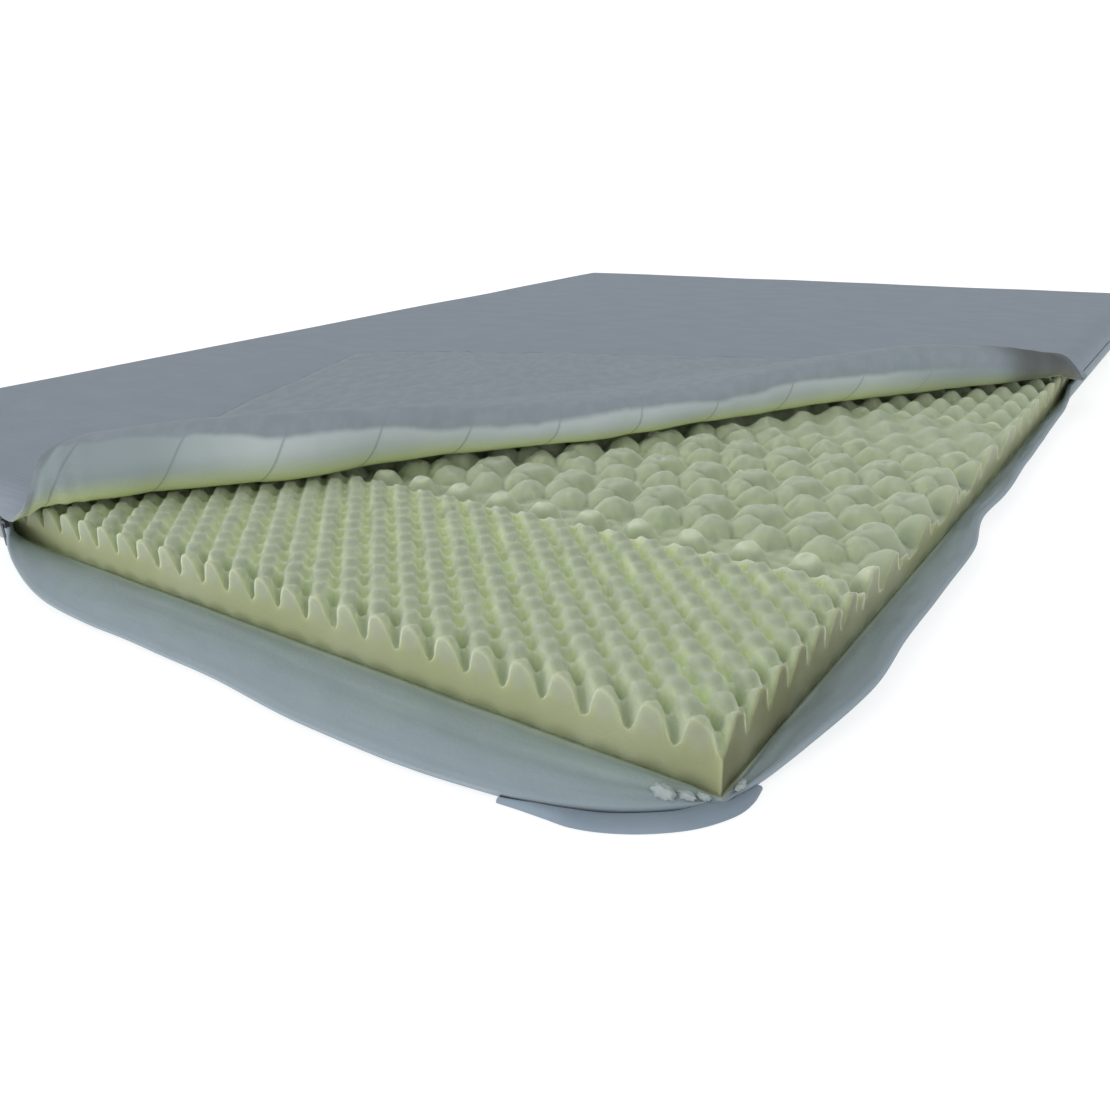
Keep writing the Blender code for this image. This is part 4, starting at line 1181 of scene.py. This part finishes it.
def zip_tree(mat):
    tree, curve, size = start_tree("zip coil", ZIP_SIZES)
    even = add_node(tree, "GeometryNodeResampleCurve",
                    {"Curve": curve, "Length": size["Tooth pitch"]}, mode="LENGTH")
    tooth = add_node(tree, "GeometryNodeMeshIcoSphere", {"Radius": 0.5, "Subdivisions": 1})
    tangent = tree.nodes.new("GeometryNodeInputTangent")
    turn = add_node(tree, "FunctionNodeAlignRotationToVector",
                    {"Vector": tangent.outputs[0]}, axis="Y")
    labels = ("Tooth across", "Tooth along", "Tooth across")
    scale = add_node(tree, "ShaderNodeCombineXYZ", {i: size[n] for i, n in enumerate(labels)})
    teeth = add_node(tree, "GeometryNodeInstanceOnPoints",
                     {"Points": even.outputs[0], "Instance": tooth.outputs["Mesh"],
                      "Rotation": turn.outputs[0], "Scale": scale.outputs[0]})
    ring = add_node(tree, "GeometryNodeCurvePrimitiveCircle",
                    {"Resolution": 8, "Radius": size["Cord radius"]})
    cord = add_node(tree, "GeometryNodeCurveToMesh",
                    {"Curve": curve, "Profile Curve": ring.outputs["Curve"], "Fill Caps": True})
    both = add_node(tree, "GeometryNodeJoinGeometry", {0: teeth.outputs[0]})
    tree.links.new(cord.outputs[0], both.inputs[0])
    return end_tree(tree, both.outputs[0], mat)


def along_curve(name, points, tree, sizes):
    """A mesh piece grown along a line of points; the curve itself isn't kept."""
    data = bpy.data.curves.new(name + "_path", "CURVE")
    data.dimensions = "3D"
    line = data.splines.new("POLY")
    line.points.add(len(points) - 1)
    for point, at in zip(line.points, points):
        point.co = (*at, 1.0)
    curve = link_object(name + "_path", data)
    mesh = frozen(curve, tree, sizes)
    bpy.data.objects.remove(curve)
    mesh.shade_smooth()
    return link_object(name, mesh)


# %% The two stretches of zip
ZIP_OUT, ZIP_UP, OPEN_UP = 0.0098, 0.0343, 0.0036


def zip_material():
    mat, tree, shader = new_material("zip coil", 0.45, specular=0.5)
    colour = blend_colours(tree, noise(tree, 60.0, 2.0), (0.030, 0.032, 0.050),
                           (0.055, 0.055, 0.085))
    tree.links.new(colour, shader.inputs["Base Color"])
    return mat


def closed_seam():
    """Plan points of the closed zip, from the right end of the opening to the left one."""
    arcs = [place[:2] for corner in CLOSED_CORNERS for place in arc(corner, CORNER_R + ZIP_OUT, 9)]
    return np.array([(-ZIP_OUT, OPEN_RIGHT)] + arcs + [(OPEN_LEFT, -ZIP_OUT)])


def level_line(points, z):
    return world(points[:, 0], points[:, 1], np.full(len(points), z))


zip_look = zip_material()
coil = zip_tree(zip_look)
chain = along_curve("zip_closed", level_line(closed_seam(), ZIP_UP), coil, ZIP_SIZES)
open_half = along_curve("zip_open_half", level_line(seam_line(0.0007, 60), OPEN_UP), coil,
                        {**ZIP_SIZES, "Tooth across": 0.0013, "Cord radius": 0.0006})
for piece, node in ((chain, "zip_chain"), (open_half, "corner_teeth")):
    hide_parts(node)
    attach(piece, "root")
for node in ("zip_slider", "zip_pull"):
    frame["nodes"][node].data.materials[0] = zip_look
print("zip teeth:", len(chain.data.polygons) + len(open_half.data.polygons), "faces")

# %% [markdown]
# ## Torn wadding
# Where the zip parted at the corner, bits of wadding stick out of the wall. Each is a lump whose
# surface is pushed in and out by strong noise.

# %% Tufts
# a, b, z, half sizes, seed
TUFTS = ((0.0290, -0.0190, 0.0095, 0.0085, 0.0050, 0.0055, 1),
         (0.0170, -0.0130, 0.0080, 0.0070, 0.0035, 0.0030, 2),
         (0.0075, -0.0075, 0.0075, 0.0050, 0.0025, 0.0025, 3),
         (-0.0065, 0.0150, 0.0075, 0.0028, 0.0065, 0.0028, 4))


def tuft_mesh(rows, mat):
    bm = bmesh.new()
    for a, b, z, ra, rb, rz, seed in rows:
        made = bmesh.ops.create_icosphere(bm, subdivisions=4, radius=1.0)["verts"]
        co = np.array([v.co for v in made])
        x, y, up = co.T
        swell = 1 + 0.20 * relief(x * 2.1 + 7 * seed, y * 2.1 + up * 1.7, 61)
        swell = swell + 0.09 * relief(x * 6 + up * 4, y * 6 + seed, 62)
        co = world(a, b, z) + co * swell[:, None] * (ra, rb, rz)
        for v, at in zip(made, co):
            v.co = at
    mesh = bpy.data.meshes.new("torn_wadding")
    bm.to_mesh(mesh)
    bm.free()
    mesh.shade_smooth()
    mesh.materials.append(mat)
    return link_object("torn_wadding", mesh)


def tuft_material():
    mat, tree, shader = new_material("torn wadding", 1.0)
    cloud = noise(tree, 140.0, 4.0).eased(0.3, 0.7)
    colour = blend_colours(tree, cloud, (0.35, 0.40, 0.40), (0.42, 0.47, 0.465))
    finish(tree, shader, colour, noise(tree, 600.0, 5.0), 0.5, 0.0008)
    return mat


tufts = tuft_mesh(TUFTS, tuft_material())
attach(tufts, "root")

# %% The base panel keeps its solid and gets woven cloth
frame["nodes"]["base_panel"].data.materials[0] = woven_material(
    "base cloth", (0.42, 0.45, 0.48), (0.36, 0.39, 0.42), 0.9)

# %% [markdown]
# ## Stage and light
# The studio is a wide floor that gives off a little light itself, so that it runs into the sky
# without a line. The sky is brightest low down and dimmer on the right. Two broad, distant
# lamps stand in front and to the left, one of them low: they reach the near cut face and the
# roll's front, and leave the right cut face in shade.

# %% Floor and sky
FLOOR_HALF, FLOOR_Z = 60, -0.0005


def add_stage():
    mat, tree, shader = new_material("studio floor", 0.9)
    shader.inputs["Base Color"].default_value = (0.45, 0.45, 0.45, 1)
    shader.inputs["Emission Color"].default_value = (1, 1, 1, 1)
    shader.inputs["Emission Strength"].default_value = 0.70
    corners = ((-1, -1), (1, -1), (1, 1), (-1, 1))
    floor = new_piece("floor", [(x * FLOOR_HALF, y * FLOOR_HALF, FLOOR_Z) for x, y in corners],
                      [[0, 1, 2, 3]], mat)


def add_sky(level, horizon, dimmer):
    """Light from all round: level overhead, horizon low down, less by a share on the right."""
    sky = bpy.data.worlds.new("studio")
    sky.use_nodes = True
    tree = sky.node_tree
    x, _, height = parts(tree, tree.nodes.new("ShaderNodeTexCoord").outputs["Generated"])
    strength = horizon + (height.eased(0.14, 0.35) * (level - horizon))
    strength = strength * (1.0 - x.eased(0.0, 0.8) * dimmer)
    back = tree.nodes["Background"]
    back.inputs[0].default_value = (0.97, 0.99, 1.0, 1)
    tree.links.new(strength.socket, back.inputs[1])
    bpy.context.scene.world = sky


def add_lamp(name, towards, strength, spread):
    """A distant lamp; towards is the direction from the part to the lamp, spread in degrees."""
    data = bpy.data.lights.new(name, "SUN")
    data.energy, data.angle = strength, radians(spread)
    data.color = (1.0, 0.99, 0.95)
    lamp = link_object(name, data)
    lamp.rotation_euler = Vector(towards).to_track_quat("Z", "Y").to_euler()


add_stage()
add_sky(0.77, 1.18, 0.22)
add_lamp("front lamp", (-0.40, -1.0, 0.44), 0.45, 40)
add_lamp("low lamp", (-0.25, -1.0, 0.14), 0.38, 30)
bpy.context.scene.view_settings.view_transform = "Standard"
